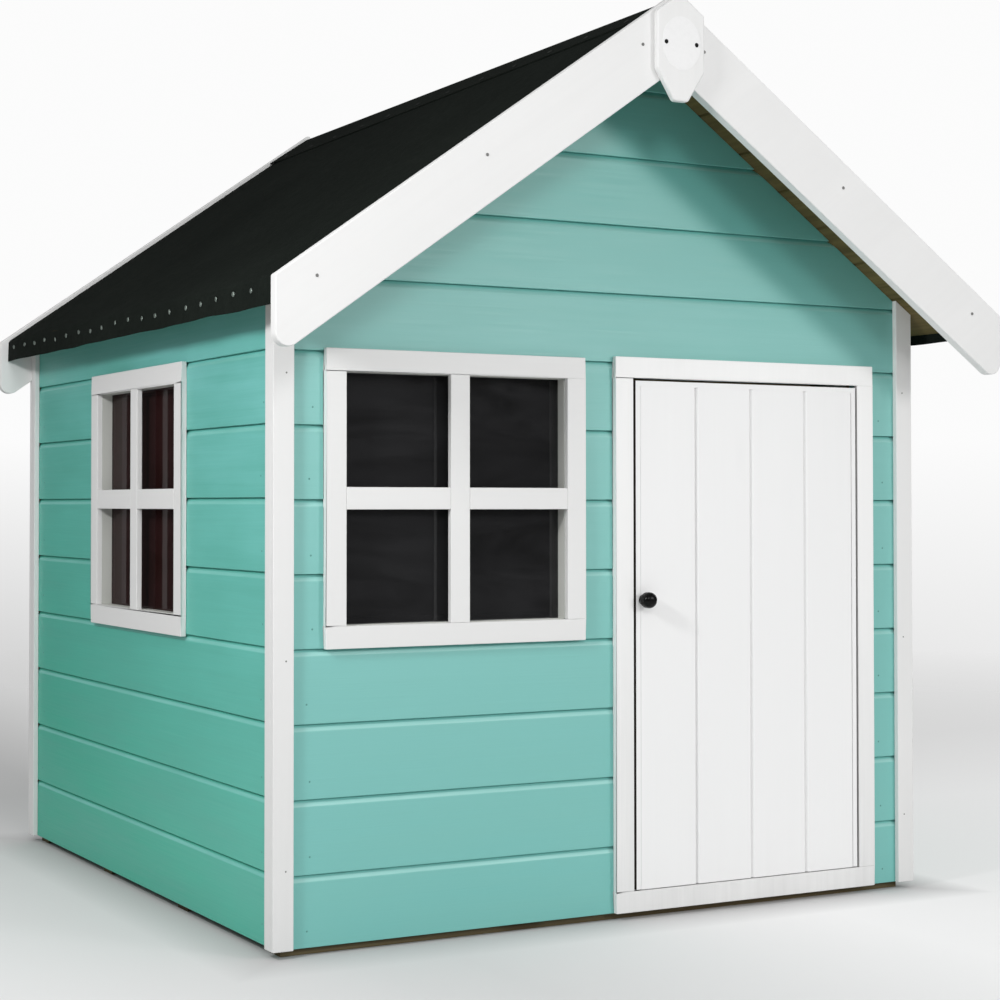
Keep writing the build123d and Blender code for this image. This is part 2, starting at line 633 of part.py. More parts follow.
def make_door_fittings():
    """A domed knob on a round rose, held by a screw from inside."""
    knob = Pos(KNOB_X, LEAF_FACE, KNOB_Z) * Rot(180, 0, 0) * revolve(knob_section(), axis=Axis.Y)
    save("door_knob", on_wall("front", [knob]))
    shank = rod(KNOB_X, LEAF_FACE - KNOB_SCREW_GRIP, KNOB_Z, KNOB_SCREW_D, KNOB_SCREW_GRIP + LEAF_T)
    head = rod(KNOB_X, LEAF_BACK, KNOB_Z, KNOB_SCREW_HEAD_D, KNOB_SCREW_HEAD_T)
    save("knob_screw", on_wall("front", [shank + head]))


# ---------------------------------------------------------------- roof
def roof_board(s0, s1, first, last):
    """One board of the right slope: s is measured down the slope along its underside."""
    def at(s, t):
        return (s * COS + t * SIN, ROOF_APEX_Z - s * SIN + t * COS)

    top_ridge = (0, roof_z(0, ROOF_BOARD_T))
    under_ridge = (0, ROOF_APEX_Z)
    top_eave = (ROOF_EAVE_X, roof_z(ROOF_EAVE_X, ROOF_BOARD_T))
    under_eave = (ROOF_EAVE_X, roof_z(ROOF_EAVE_X))
    v = ROOF_BOARD_V
    ridge_end = [under_ridge, top_ridge] if first else [at(s0 + v, 0), at(s0, v), at(s0, ROOF_BOARD_T)]
    eave_end = [top_eave, under_eave] if last else [at(s1, ROOF_BOARD_T), at(s1, v), at(s1 - v, 0)]
    return slab_xz(ridge_end + eave_end, ROOF_FRONT_Y, ROOF_L)


def make_roof_boards():
    step = ROOF_EAVE_X / COS / ROOF_BOARD_COUNT
    right = [roof_board(i * step, (i + 1) * step, i == 0, i == ROOF_BOARD_COUNT - 1)
             for i in range(ROOF_BOARD_COUNT)]
    save("roof_boards_right", right)
    save("roof_boards_left", [mirrored(board) for board in right])


def make_rafters():
    end_x = WALL_W / 2 - PANEL_T
    drop = RAFTER_H / COS
    outline = [(0, ROOF_APEX_Z - drop), (end_x, roof_z(end_x) - drop),
               (end_x, roof_z(end_x)), (0, ROOF_APEX_Z)]
    clear = WALL_D - 2 * PANEL_T
    rafters = []
    for index in range(RAFTER_COUNT):
        y = FRONT_Y + PANEL_T + clear * (index + 1) / (RAFTER_COUNT + 1) - RAFTER_W / 2
        rafter = slab_xz(outline, y, RAFTER_W)
        rafters += [rafter, mirrored(rafter)]
    save("rafters", rafters)


def make_felt():
    face_x = ROOF_EAVE_X + FELT_T
    flap_z = roof_z(ROOF_EAVE_X) - FELT_FLAP_DROP
    sheet = slab_xz([(0, roof_z(0, ROOF_BOARD_T)), (0, roof_z(0, FELT_TOP)),
                     (face_x, roof_z(face_x, FELT_TOP)), (face_x, flap_z), (ROOF_EAVE_X, flap_z),
                     (ROOF_EAVE_X, roof_z(ROOF_EAVE_X, ROOF_BOARD_T))], ROOF_FRONT_Y, ROOF_L)
    save("felt_right", [sheet])
    save("felt_left", [mirrored(sheet)])
    w = RIDGE_CAP_HALF_W
    top = FELT_TOP + RIDGE_CAP_T
    cap = slab_xz([(-w, roof_z(w, FELT_TOP)), (0, roof_z(0, FELT_TOP)), (w, roof_z(w, FELT_TOP)),
                   (w, roof_z(w, top)), (0, roof_z(0, top)), (-w, roof_z(w, top))], ROOF_FRONT_Y, ROOF_L)
    save("ridge_cap", [cap])


def nail_rows():
    """Clout nails through the felt flap along each eave."""
    z = roof_z(ROOF_EAVE_X, ROOF_BOARD_T) - EAVE_NAIL_DROP
    count = int((ROOF_L - 2 * EAVE_NAIL_FROM_BACK) / EAVE_NAIL_PITCH) + 1
    face_x = ROOF_EAVE_X + FELT_T
    nails = []
    for index in range(count):
        y = BACK_Y - EAVE_NAIL_FROM_BACK - index * EAVE_NAIL_PITCH
        head = Pos(face_x, y, z) * Rot(0, 90, 0) * Cylinder(
            EAVE_NAIL_D / 2, EAVE_NAIL_HEAD_T, align=(Align.CENTER, Align.CENTER, Align.MIN))
        nails += [head, mirrored(head)]
    return nails


def cap_nails():
    """Clout nails along both lower edges of the ridge strip."""
    x = RIDGE_CAP_HALF_W - CAP_NAIL_INSET
    lift = FELT_TOP + RIDGE_CAP_T
    step = ROOF_L / CAP_NAIL_COUNT
    nails = []
    for index in range(CAP_NAIL_COUNT):
        y = ROOF_FRONT_Y + (index + 0.5) * step
        head = Pos(x, y, roof_z(x, lift)) * Rot(0, ROOF_PITCH, 0) * Cylinder(
            EAVE_NAIL_D / 2, EAVE_NAIL_HEAD_T, align=(Align.CENTER, Align.CENTER, Align.MIN))
        nails += [head, mirrored(head)]
    return nails


# ---------------------------------------------------------------- bargeboards and finial
def bargeboard(y0):
    """The right-hand bargeboard: plumb cut at both ends, with a rounded lower tip."""
    round_x = BARGE_END_X - BARGE_ROUND
    round_z = roof_z(round_x, BARGE_LOW) + BARGE_ROUND / COS
    half_turn = math.radians(90 + ROOF_PITCH) / 2
    upper = (BARGE_END_X, round_z)
    middle = (round_x + BARGE_ROUND * math.cos(half_turn), round_z - BARGE_ROUND * math.sin(half_turn))
    tangent = (round_x - BARGE_ROUND * SIN, round_z - BARGE_ROUND * COS)
    corners = [tangent, (0, roof_z(0, BARGE_LOW)), (0, roof_z(0, BARGE_TOP)),
               (BARGE_END_X, roof_z(BARGE_END_X, BARGE_TOP)), upper]
    edges = [Line((a[0], y0, a[1]), (b[0], y0, b[1])) for a, b in zip(corners, corners[1:])]
    tip = ThreePointArc(*[(x, y0, z) for x, z in (upper, middle, tangent)])
    return extrude(Face(Wire(edges + [tip])), amount=BARGE_T, dir=(0, 1, 0))


def make_bargeboards():
    front_y = ROOF_FRONT_Y - BARGE_T
    front = bargeboard(front_y)
    back = bargeboard(BACK_Y)
    save("bargeboards_front", [front, mirrored(front)])
    save("bargeboards_back", [back, mirrored(back)])
    middle = (BARGE_TOP + BARGE_LOW) / 2 + BARGE_NAIL_LIFT
    step = (BARGE_END_X - BARGE_NAIL_FROM_END - BARGE_NAIL_FROM_RIDGE) / (BARGE_NAIL_COUNT - 1)
    nails = []
    for x in [BARGE_NAIL_FROM_RIDGE + i * step for i in range(BARGE_NAIL_COUNT)]:
        front_nail = rod(x, front_y - BARGE_NAIL_HEAD_T, roof_z(x, middle), BARGE_NAIL_D, BARGE_NAIL_HEAD_T)
        back_nail = rod(x, BACK_Y + BARGE_T, roof_z(x, middle), BARGE_NAIL_D, BARGE_NAIL_HEAD_T)
        nails += [front_nail, mirrored(front_nail), back_nail, mirrored(back_nail)]
    save("barge_nails", nails)


def make_finial():
    """The plaque over the joint of the front bargeboards, with two screws and a blank disc."""
    y0 = ROOF_FRONT_Y - BARGE_T - FINIAL_T
    x = FINIAL_X
    half = FINIAL_W / 2
    low_half = FINIAL_BOTTOM_W / 2
    apex_z = roof_z(0, BARGE_TOP)
    shoulder_z = apex_z - half * TAN
    taper_z = apex_z - FINIAL_TAPER_DROP
    bottom_z = apex_z - FINIAL_BOTTOM_DROP
    screw_z = apex_z - FINIAL_SCREW_DROP
    plaque = slab_xz([(x, apex_z), (x + half, shoulder_z), (x + half, taper_z), (x + low_half, bottom_z),
                      (x - low_half, bottom_z), (x - half, taper_z), (x - half, shoulder_z)], y0, FINIAL_T)
    low_edges = plaque.edges().filter_by(Axis.Y).group_by(Axis.Z)[0]
    save("finial_plaque", [fillet(low_edges, FINIAL_ROUND)])
    screws = [rod(x + side * FINIAL_SCREW_PITCH / 2, y0 - FINIAL_SCREW_HEAD_T, screw_z,
                  FINIAL_SCREW_D, FINIAL_SCREW_HEAD_T) for side in (-1, 1)]
    save("finial_screws", screws)
    save("finial_disc", [rod(x, y0 - DISC_T, screw_z, DISC_D, DISC_T)])


def main():
    os.makedirs("parts", exist_ok=True)
    make_base()
    make_frames()
    make_cladding()
    make_corner_strips()
    make_windows()
    make_doorway()
    make_leaf()
    make_door_fittings()
    make_roof_boards()
    make_rafters()
    make_felt()
    save("eave_nails", nail_rows())
    save("ridge_cap_nails", cap_nails())
    make_bargeboards()
    make_finial()


main()
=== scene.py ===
"""Looks of a small painted timber playhouse: paint, felt, glazing, nails and fittings.

Lengths are metres.  +X is right as seen from the door side, +Y goes to the back, +Z is up.
"""

import math
import random

import bmesh
import bpy
from mathutils import Matrix, Vector, noise


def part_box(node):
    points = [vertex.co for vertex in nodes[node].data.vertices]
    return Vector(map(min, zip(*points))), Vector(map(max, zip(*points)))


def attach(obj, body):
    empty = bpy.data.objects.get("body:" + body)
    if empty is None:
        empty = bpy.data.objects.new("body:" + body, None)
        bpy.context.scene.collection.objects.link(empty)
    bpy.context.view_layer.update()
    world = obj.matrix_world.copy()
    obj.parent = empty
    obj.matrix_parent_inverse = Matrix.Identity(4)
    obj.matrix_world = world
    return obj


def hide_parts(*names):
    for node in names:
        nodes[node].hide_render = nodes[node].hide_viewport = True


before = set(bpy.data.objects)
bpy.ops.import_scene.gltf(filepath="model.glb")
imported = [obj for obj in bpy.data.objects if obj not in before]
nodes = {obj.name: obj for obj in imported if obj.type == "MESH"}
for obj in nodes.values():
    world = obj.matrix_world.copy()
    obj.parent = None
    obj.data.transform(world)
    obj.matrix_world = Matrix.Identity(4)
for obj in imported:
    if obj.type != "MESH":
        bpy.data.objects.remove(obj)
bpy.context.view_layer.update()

# ---------------------------------------------------------------- sizes taken from the frame
PITCH = math.radians(35)
FRONT_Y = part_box("cladding_front")[0][1]
BACK_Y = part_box("cladding_back")[1][1]
EAVE_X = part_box("felt_right")[1][0]
FLAP_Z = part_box("felt_right")[0][2]
BOARD_COVER = 0.112  # each board shows this much of itself below the next
LAP_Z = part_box("cladding_front")[0][2] - 0.004
SIDE_LAP_LIFT = 0.003
# heights where the painted shade fades in, near the ground and under the roof
LOW_SHADE_Z = (0.05, 0.95)
ROOF_SHADE_Z = (0.95, 1.15)
ROOF_Y0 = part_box("felt_right")[0][1]
ROOF_Y1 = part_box("felt_right")[1][1]
FELT_TOP_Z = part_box("felt_right")[1][2]


# ---------------------------------------------------------------- shader groups
def new_group(name, inputs, outputs):
    """A shader node group with named sockets: inputs are (name, kind, default)."""
    tree = bpy.data.node_groups.new(name, "ShaderNodeTree")
    for label, kind, default in inputs:
        socket = tree.interface.new_socket(name=label, in_out="INPUT", socket_type=kind)
        if default is not None:
            socket.default_value = default
    for label, kind in outputs:
        tree.interface.new_socket(name=label, in_out="OUTPUT", socket_type=kind)
    return tree, tree.nodes.new("NodeGroupInput"), tree.nodes.new("NodeGroupOutput")


def add(tree, kind, **settings):
    """One node with its settings; a key such as in_Scale sets that input."""
    node = tree.nodes.new(kind)
    for key, value in settings.items():
        if key.startswith("in_"):
            node.inputs[key[3:].replace("_", " ")].default_value = value
        else:
            setattr(node, key, value)
    return node


def math_node(tree, operation, first, second=None, clamp=False):
    node = add(tree, "ShaderNodeMath", operation=operation, use_clamp=clamp)
    for socket, value in zip(node.inputs, (first, second)):
        if value is None:
            continue
        if isinstance(value, (int, float)):
            socket.default_value = value
        else:
            tree.links.new(value, socket)
    return node.outputs[0]


def ramp(tree, value, low, high):
    """Stretches a value so that low gives 0 and high gives 1."""
    node = add(tree, "ShaderNodeMapRange", in_From_Min=low, in_From_Max=high)
    tree.links.new(value, node.inputs["Value"])
    return node.outputs["Result"]


def mix_colour(tree, factor, first, second, blend="MIX"):
    node = add(tree, "ShaderNodeMix", data_type="RGBA", blend_type=blend)
    for socket, value in zip((node.inputs[0], node.inputs[6], node.inputs[7]), (factor, first, second)):
        if isinstance(value, (int, float, tuple)):
            socket.default_value = value
        else:
            tree.links.new(value, socket)
    return node.outputs[2]


def stretched(tree, vector, along, across, deep=1.0):
    """The same place with its three directions scaled for a pattern that follows the board."""
    node = add(tree, "ShaderNodeVectorMath", operation="MULTIPLY")
    tree.links.new(vector, node.inputs[0])
    node.inputs[1].default_value = (along, across, deep)
    return node.outputs[0]


def noise_on(tree, vector, scale, detail=3.0, roughness=0.5, distortion=0.0):
    node = add(tree, "ShaderNodeTexNoise", in_Scale=scale, in_Detail=detail,
               in_Roughness=roughness, in_Distortion=distortion)
    tree.links.new(vector, node.inputs["Vector"])
    return node.outputs["Fac"]


def brushed_paint_group():
    """Brushed paint over planed softwood: streaks, raised grain, faint knots and blotches."""
    tree, entry, leave = new_group(
        "brushed paint",
        [("Board Vector", "NodeSocketVector", None), ("Paint", "NodeSocketColor", (0.8, 0.8, 0.8, 1)),
         ("Worn Paint", "NodeSocketColor", (0.7, 0.7, 0.7, 1)), ("Grain Depth", "NodeSocketFloat", 1.0),
         ("Gloss", "NodeSocketFloat", 0.45)],
        [("Color", "NodeSocketColor"), ("Roughness", "NodeSocketFloat"), ("Height", "NodeSocketFloat")])
    board = entry.outputs["Board Vector"]
    streaks = noise_on(tree, stretched(tree, board, 5, 420), 1.0, 4.0, 0.6)
    grain = noise_on(tree, stretched(tree, board, 2.2, 75), 1.0, 5.0, 0.6, 0.8)
    blotches = noise_on(tree, stretched(tree, board, 3.5, 9), 1.0, 3.0)
    cells = add(tree, "ShaderNodeTexVoronoi", in_Scale=1.0)
    tree.links.new(stretched(tree, board, 2.3, 7.5), cells.inputs["Vector"])
    knots = math_node(tree, "SUBTRACT", 1.0, ramp(tree, cells.outputs["Distance"], 0.02, 0.10), True)
    rings = noise_on(tree, stretched(tree, board, 30, 110), 1.0, 2.0)
    knot_rings = math_node(tree, "MULTIPLY", knots, rings)
    shade = math_node(tree, "MULTIPLY", ramp(tree, grain, 0.35, 0.75), 0.30)
    shade = math_node(tree, "ADD", shade, math_node(tree, "MULTIPLY", ramp(tree, blotches, 0.35, 0.7), 0.40))
    shade = math_node(tree, "ADD", shade, math_node(tree, "MULTIPLY", knots, 0.45), True)
    colour = mix_colour(tree, shade, entry.outputs["Paint"], entry.outputs["Worn Paint"])
    tree.links.new(colour, leave.inputs["Color"])
    rough = math_node(tree, "ADD", entry.outputs["Gloss"],
                      math_node(tree, "MULTIPLY", ramp(tree, streaks, 0.3, 0.7), 0.12))
    tree.links.new(rough, leave.inputs["Roughness"])
    height = math_node(tree, "ADD", math_node(tree, "MULTIPLY", streaks, 0.35),
                       math_node(tree, "MULTIPLY", grain, 0.9))
    height = math_node(tree, "ADD", height, math_node(tree, "MULTIPLY", knot_rings, 0.8))
    height = math_node(tree, "MULTIPLY", height, entry.outputs["Grain Depth"])
    tree.links.new(height, leave.inputs["Height"])
    return tree


def sawn_timber_group():
    """Treated sawn softwood: growth rings along the board, saw marks across it, knots."""
    tree, entry, leave = new_group(
        "sawn timber",
        [("Board Vector", "NodeSocketVector", None), ("Pale Wood", "NodeSocketColor", (0.5, 0.4, 0.2, 1)),
         ("Dark Wood", "NodeSocketColor", (0.3, 0.2, 0.1, 1))],
        [("Color", "NodeSocketColor"), ("Roughness", "NodeSocketFloat"), ("Height", "NodeSocketFloat")])
    board = entry.outputs["Board Vector"]
    bands = noise_on(tree, stretched(tree, board, 1.4, 95), 1.0, 4.0, 0.55, 1.2)
    saw = noise_on(tree, stretched(tree, board, 500, 14), 1.0, 2.0)
    patches = noise_on(tree, stretched(tree, board, 4, 12), 1.0, 2.0)
    cells = add(tree, "ShaderNodeTexVoronoi", in_Scale=1.0)
    tree.links.new(stretched(tree, board, 2.6, 8.5), cells.inputs["Vector"])
    knots = math_node(tree, "SUBTRACT", 1.0, ramp(tree, cells.outputs["Distance"], 0.03, 0.13), True)
    tone = math_node(tree, "ADD", math_node(tree, "MULTIPLY", ramp(tree, bands, 0.3, 0.7), 0.65),
                     math_node(tree, "MULTIPLY", patches, 0.25))
    tone = math_node(tree, "ADD", tone, math_node(tree, "MULTIPLY", knots, 0.7), True)
    tree.links.new(mix_colour(tree, tone, entry.outputs["Pale Wood"], entry.outputs["Dark Wood"]),
                   leave.inputs["Color"])
    tree.links.new(math_node(tree, "ADD", 0.72, math_node(tree, "MULTIPLY", saw, 0.15)),
                   leave.inputs["Roughness"])
    height = math_node(tree, "ADD", math_node(tree, "MULTIPLY", saw, 0.5), bands)
    tree.links.new(height, leave.inputs["Height"])
    return tree


def granule_group():
    """Mineral granules pressed in bitumen, with scuffs and slow changes of tone."""
    tree, entry, leave = new_group(
        "felt granules",
        [("Place", "NodeSocketVector", None), ("Bitumen", "NodeSocketColor", (0.01, 0.012, 0.01, 1)),
         ("Granules", "NodeSocketColor", (0.03, 0.035, 0.03, 1))],
        [("Color", "NodeSocketColor"), ("Roughness", "NodeSocketFloat"), ("Height", "NodeSocketFloat")])
    place = entry.outputs["Place"]
    grains = add(tree, "ShaderNodeTexVoronoi", in_Scale=520.0)
    tree.links.new(place, grains.inputs["Vector"])
    clumps = noise_on(tree, place, 60.0, 4.0, 0.6)
    drifts = noise_on(tree, place, 4.0, 3.0)
    tone = math_node(tree, "MULTIPLY", ramp(tree, grains.outputs["Distance"], 0.75, 0.2), 0.6)
    tone = math_node(tree, "ADD", tone, math_node(tree, "MULTIPLY", ramp(tree, clumps, 0.35, 0.7), 0.3))
    tone = math_node(tree, "MULTIPLY", tone, ramp(tree, drifts, 0.1, 0.75), True)
    tree.links.new(mix_colour(tree, tone, entry.outputs["Bitumen"], entry.outputs["Granules"]),
                   leave.inputs["Color"])
    tree.links.new(math_node(tree, "SUBTRACT", 0.92, math_node(tree, "MULTIPLY", clumps, 0.18)),
                   leave.inputs["Roughness"])
    height = math_node(tree, "SUBTRACT", math_node(tree, "MULTIPLY", clumps, 0.8),
                       math_node(tree, "MULTIPLY", grains.outputs["Distance"], 0.6))
    tree.links.new(height, leave.inputs["Height"])
    return tree


def dulled_metal_group():
    """Fine scratches and dull patches on a metal fitting."""
    tree, entry, leave = new_group(
        "dulled metal",
        [("Place", "NodeSocketVector", None), ("Metal", "NodeSocketColor", (0.6, 0.6, 0.6, 1)),
         ("Tarnish", "NodeSocketColor", (0.3, 0.3, 0.3, 1)), ("Polish", "NodeSocketFloat", 0.35)],
        [("Color", "NodeSocketColor"), ("Roughness", "NodeSocketFloat"), ("Height", "NodeSocketFloat")])
    patches = noise_on(tree, entry.outputs["Place"], 180.0, 4.0, 0.6)
    scratches = noise_on(tree, stretched(tree, entry.outputs["Place"], 2400, 300, 300), 1.0, 2.0)
    tree.links.new(mix_colour(tree, ramp(tree, patches, 0.35, 0.75), entry.outputs["Metal"],
                              entry.outputs["Tarnish"]), leave.inputs["Color"])
    rough = math_node(tree, "ADD", entry.outputs["Polish"], math_node(tree, "MULTIPLY", patches, 0.25))
    tree.links.new(rough, leave.inputs["Roughness"])
    tree.links.new(math_node(tree, "ADD", scratches, patches), leave.inputs["Height"])
    return tree


PAINTED = brushed_paint_group()
SAWN = sawn_timber_group()
GRANULES = granule_group()
DULLED = dulled_metal_group()


# ---------------------------------------------------------------- materials
def start_material(name):
    material = bpy.data.materials.new(name)
    material.use_nodes = True
    tree = material.node_tree
    return material, tree, tree.nodes["Principled BSDF"]


def board_place(tree, follows):
    """Board directions as a vector: x along the board, y across it."""
    if follows == "grain map":
        return add(tree, "ShaderNodeUVMap", uv_map="grain").outputs["UV"]
    place = add(tree, "ShaderNodeTexCoord").outputs["Object"]
    split = add(tree, "ShaderNodeSeparateXYZ")
    tree.links.new(place, split.inputs[0])
    join = add(tree, "ShaderNodeCombineXYZ")
    x, y, z = split.outputs
    if follows == "level boards":
        tree.links.new(math_node(tree, "ADD", x, y), join.inputs[0])
        tree.links.new(z, join.inputs[1])
    elif follows == "roof boards":
        tree.links.new(y, join.inputs[0])
        tree.links.new(math_node(tree, "ADD", x, math_node(tree, "MULTIPLY", z, 0.3)), join.inputs[1])
    else:
        tree.links.new(z, join.inputs[0])
        tree.links.new(math_node(tree, "ADD", x, y), join.inputs[1])
    return join.outputs[0]


def finish(tree, shader, group, bump):
    """Joins a group's colour, roughness and height to the material's own shader."""
    tree.links.new(group.outputs["Color"], shader.inputs["Base Color"])
    tree.links.new(group.outputs["Roughness"], shader.inputs["Roughness"])
    relief = add(tree, "ShaderNodeBump", in_Strength=1.0, in_Distance=bump)
    tree.links.new(group.outputs["Height"], relief.inputs["Height"])
    tree.links.new(relief.outputs["Normal"], shader.inputs["Normal"])


def shoulder_highlight_band(tree, up, lap_z):
    """A painted highlight where each lapped board's rounded top catches the light, just below the board
    above.
    """
    rows = math_node(tree, "DIVIDE", math_node(tree, "SUBTRACT", up, lap_z), BOARD_COVER)
    share = math_node(tree, "FRACT", rows)
    band = math_node(tree, "MULTIPLY", ramp(tree, share, 0.898, 0.915), ramp(tree, share, 0.965, 0.948))
    return math_node(tree, "MULTIPLY", band, 0.75)


def painted_timber(name, paint, worn, follows, depth=1.0, gloss=0.42, bump=0.00025, low_shade_paint=None,
                   roof_shade_paint=None, shoulder=None, lap_z=0.0, shine=0.4, lean=0.0):
    """Brushed paint on timber.

    A low paint is painted shade, darker towards the ground, and lean carries it up towards the back.  A
    high paint is painted shade under the roof.  A shoulder is a painted highlight on each board's rounded
    top, below a lap line at lap_z and below every lap above it.
    """
    material, tree, shader = start_material(name)
    group = add(tree, "ShaderNodeGroup", node_tree=PAINTED)
    group.inputs["Paint"].default_value = (*paint, 1)
    group.inputs["Worn Paint"].default_value = (*worn, 1)
    # darker towards the ground, and with lean towards the back: painted shade
    if low_shade_paint:
        split = add(tree, "ShaderNodeSeparateXYZ")
        tree.links.new(add(tree, "ShaderNodeTexCoord").outputs["Object"], split.inputs[0])
        _, back, up = split.outputs
        level = math_node(tree, "SUBTRACT", up, math_node(tree, "MULTIPLY", back, lean))
        tone = mix_colour(tree, ramp(tree, level, *LOW_SHADE_Z), (*low_shade_paint, 1), (*paint, 1))
        # darker under the roof: painted shade
        if roof_shade_paint:
            tone = mix_colour(tree, ramp(tree, level, *ROOF_SHADE_Z), tone, (*roof_shade_paint, 1))
        # a lighter band below each lap line: painted highlight
        if shoulder:
            tone = mix_colour(tree, shoulder_highlight_band(tree, up, lap_z), tone, (*shoulder, 1))
        tree.links.new(tone, group.inputs["Paint"])
    group.inputs["Grain Depth"].default_value = depth
    group.inputs["Gloss"].default_value = gloss
    tree.links.new(board_place(tree, follows), group.inputs["Board Vector"])
    finish(tree, shader, group, bump)
    shader.inputs["Specular IOR Level"].default_value = shine
    return material


def sawn_timber(name, pale, dark, follows):
    material, tree, shader = start_material(name)
    group = add(tree, "ShaderNodeGroup", node_tree=SAWN)
    group.inputs["Pale Wood"].default_value = (*pale, 1)
    group.inputs["Dark Wood"].default_value = (*dark, 1)
    tree.links.new(board_place(tree, follows), group.inputs["Board Vector"])
    finish(tree, shader, group, 0.0005)
    shader.inputs["Specular IOR Level"].default_value = 0.25
    return material


def roofing_felt(name, bitumen, granules):
    material, tree, shader = start_material(name)
    group = add(tree, "ShaderNodeGroup", node_tree=GRANULES)
    group.inputs["Bitumen"].default_value = (*bitumen, 1)
    group.inputs["Granules"].default_value = (*granules, 1)
    tree.links.new(add(tree, "ShaderNodeTexCoord").outputs["Object"], group.inputs["Place"])
    finish(tree, shader, group, 0.0008)
    shader.inputs["Specular IOR Level"].default_value = 0.06
    return material


def fitting_metal(name, metal, tarnish, polish, metallic=1.0, bump=0.00004):
    material, tree, shader = start_material(name)
    group = add(tree, "ShaderNodeGroup", node_tree=DULLED)
    group.inputs["Metal"].default_value = (*metal, 1)
    group.inputs["Tarnish"].default_value = (*tarnish, 1)
    group.inputs["Polish"].default_value = polish
    tree.links.new(add(tree, "ShaderNodeTexCoord").outputs["Object"], group.inputs["Place"])
    finish(tree, shader, group, bump)
    shader.inputs["Metallic"].default_value = metallic
    return material


def glazing(name, dark, pale, band_z, mirror):
    """Sheet coloured as the dark room behind it, painted shade: a paler band of painted light below a wavy
    line, slow smears, faint streaks.
    """
    material, tree, shader = start_material(name)
    place = add(tree, "ShaderNodeTexCoord").outputs["Object"]
    split = add(tree, "ShaderNodeSeparateXYZ")
    tree.links.new(place, split.inputs[0])
    wander = noise_on(tree, place, 9.0, 3.0, 0.6)
    height = math_node(tree, "ADD", split.outputs[2], math_node(tree, "MULTIPLY", wander, 0.09))
    slope = math_node(tree, "MULTIPLY", math_node(tree, "ADD", split.outputs[0], split.outputs[1]), 0.08)
    painted_light_band = ramp(tree, math_node(tree, "ADD", height, slope), band_z + 0.006, band_z - 0.012)
    smears = noise_on(tree, stretched(tree, place, 3.0, 3.0, 14.0), 1.0, 4.0, 0.6, 1.5)
    tone = math_node(tree, "MULTIPLY", painted_light_band, ramp(tree, smears, 0.15, 0.60), True)
    tree.links.new(mix_colour(tree, tone, (*dark, 1), (*pale, 1)), shader.inputs["Base Color"])
    tree.links.new(math_node(tree, "ADD", 0.03, math_node(tree, "MULTIPLY", smears, 0.05)),
                   shader.inputs["Roughness"])
    ripple = add(tree, "ShaderNodeBump", in_Strength=1.0, in_Distance=0.0012)
    tree.links.new(noise_on(tree, place, 3.0, 1.0), ripple.inputs["Height"])
    tree.links.new(ripple.outputs["Normal"], shader.inputs["Normal"])
    shader.inputs["Specular IOR Level"].default_value = mirror
    shader.inputs["Alpha"].default_value = 0.97
    return material


MINT = (0.205, 0.515, 0.478)
# darker towards the ground: painted shade
MINT_LOW_SHADE = (0.150, 0.470, 0.434)
MINT_WORN = (0.165, 0.470, 0.425)
# darker under the roof: painted shade
MINT_GABLE_SHADE = (0.145, 0.475, 0.430)
# lighter on each board's rounded top: painted highlight
MINT_SHOULDER_HIGHLIGHT = (0.330, 0.640, 0.600)
# a greener copy of the same mint paint for the side walls: painted shade
MINT_SIDE_SHADED = (0.180, 0.560, 0.520)
# darker towards the ground and the back: painted shade
MINT_SIDE_LOW_SHADE = (0.030, 0.440, 0.305)
MINT_SIDE_WORN = (0.080, 0.400, 0.320)
# lighter on each board's rounded top: painted highlight
MINT_SIDE_SHOULDER_HIGHLIGHT = (0.270, 0.650, 0.600)
WHITE = (0.79, 0.79, 0.785)
# darker towards the ground: painted shade
WHITE_LOW_SHADE = (0.68, 0.68, 0.675)
WHITE_WORN = (0.75, 0.75, 0.745)

mint_front = painted_timber("mint paint on the gable boards", MINT, MINT_WORN, "level boards",
                            low_shade_paint=MINT_LOW_SHADE, roof_shade_paint=MINT_GABLE_SHADE, shoulder=MINT_SHOULDER_HIGHLIGHT,
                            lap_z=LAP_Z, shine=0.9)
# the side walls take the greener copy of the mint paint: painted shade
mint_side_shaded = painted_timber("shaded copy of mint paint on the side boards", MINT_SIDE_SHADED, MINT_SIDE_WORN, "level boards",
                           low_shade_paint=MINT_SIDE_LOW_SHADE, shoulder=MINT_SIDE_SHOULDER_HIGHLIGHT,
                           lap_z=LAP_Z + SIDE_LAP_LIFT, shine=0.9, lean=0.35)
white_trim = painted_timber("white paint on strips", WHITE, WHITE_WORN, "grain map", 0.7, low_shade_paint=WHITE_LOW_SHADE)
# greyer than the trims: painted shade of the recessed reveal
reveal_shade_paint = painted_timber("white paint in the reveals, greyed as painted shade", (0.58, 0.59, 0.555), (0.50, 0.51, 0.48),
                              "grain map")
# lighter copies of the trim white as painted light on the door and its surround, darker towards the ground as
# painted shade
white_surround_lit = painted_timber("lighter copy of white paint round the door", (0.93, 0.93, 0.925), (0.86, 0.86, 0.855),
                                "grain map", 0.7, low_shade_paint=(0.70, 0.70, 0.695))
white_door_lit = painted_timber("lighter copy of white paint on the door", (0.87, 0.87, 0.87), (0.83, 0.83, 0.83), "grain map",
                            0.8, 0.38, low_shade_paint=(0.80, 0.80, 0.80))
# treated brown, darkened further than the framing as painted shade under the eaves
raw_roof = sawn_timber("treated roof boards, darkened as painted shade", (0.17, 0.135, 0.050), (0.07, 0.055, 0.020), "roof boards")
# treated brown, darkened further than the framing as painted shade under the walls
raw_bearer = sawn_timber("treated bearers, darkened as painted shade", (0.16, 0.125, 0.065), (0.07, 0.05, 0.025), "level boards")
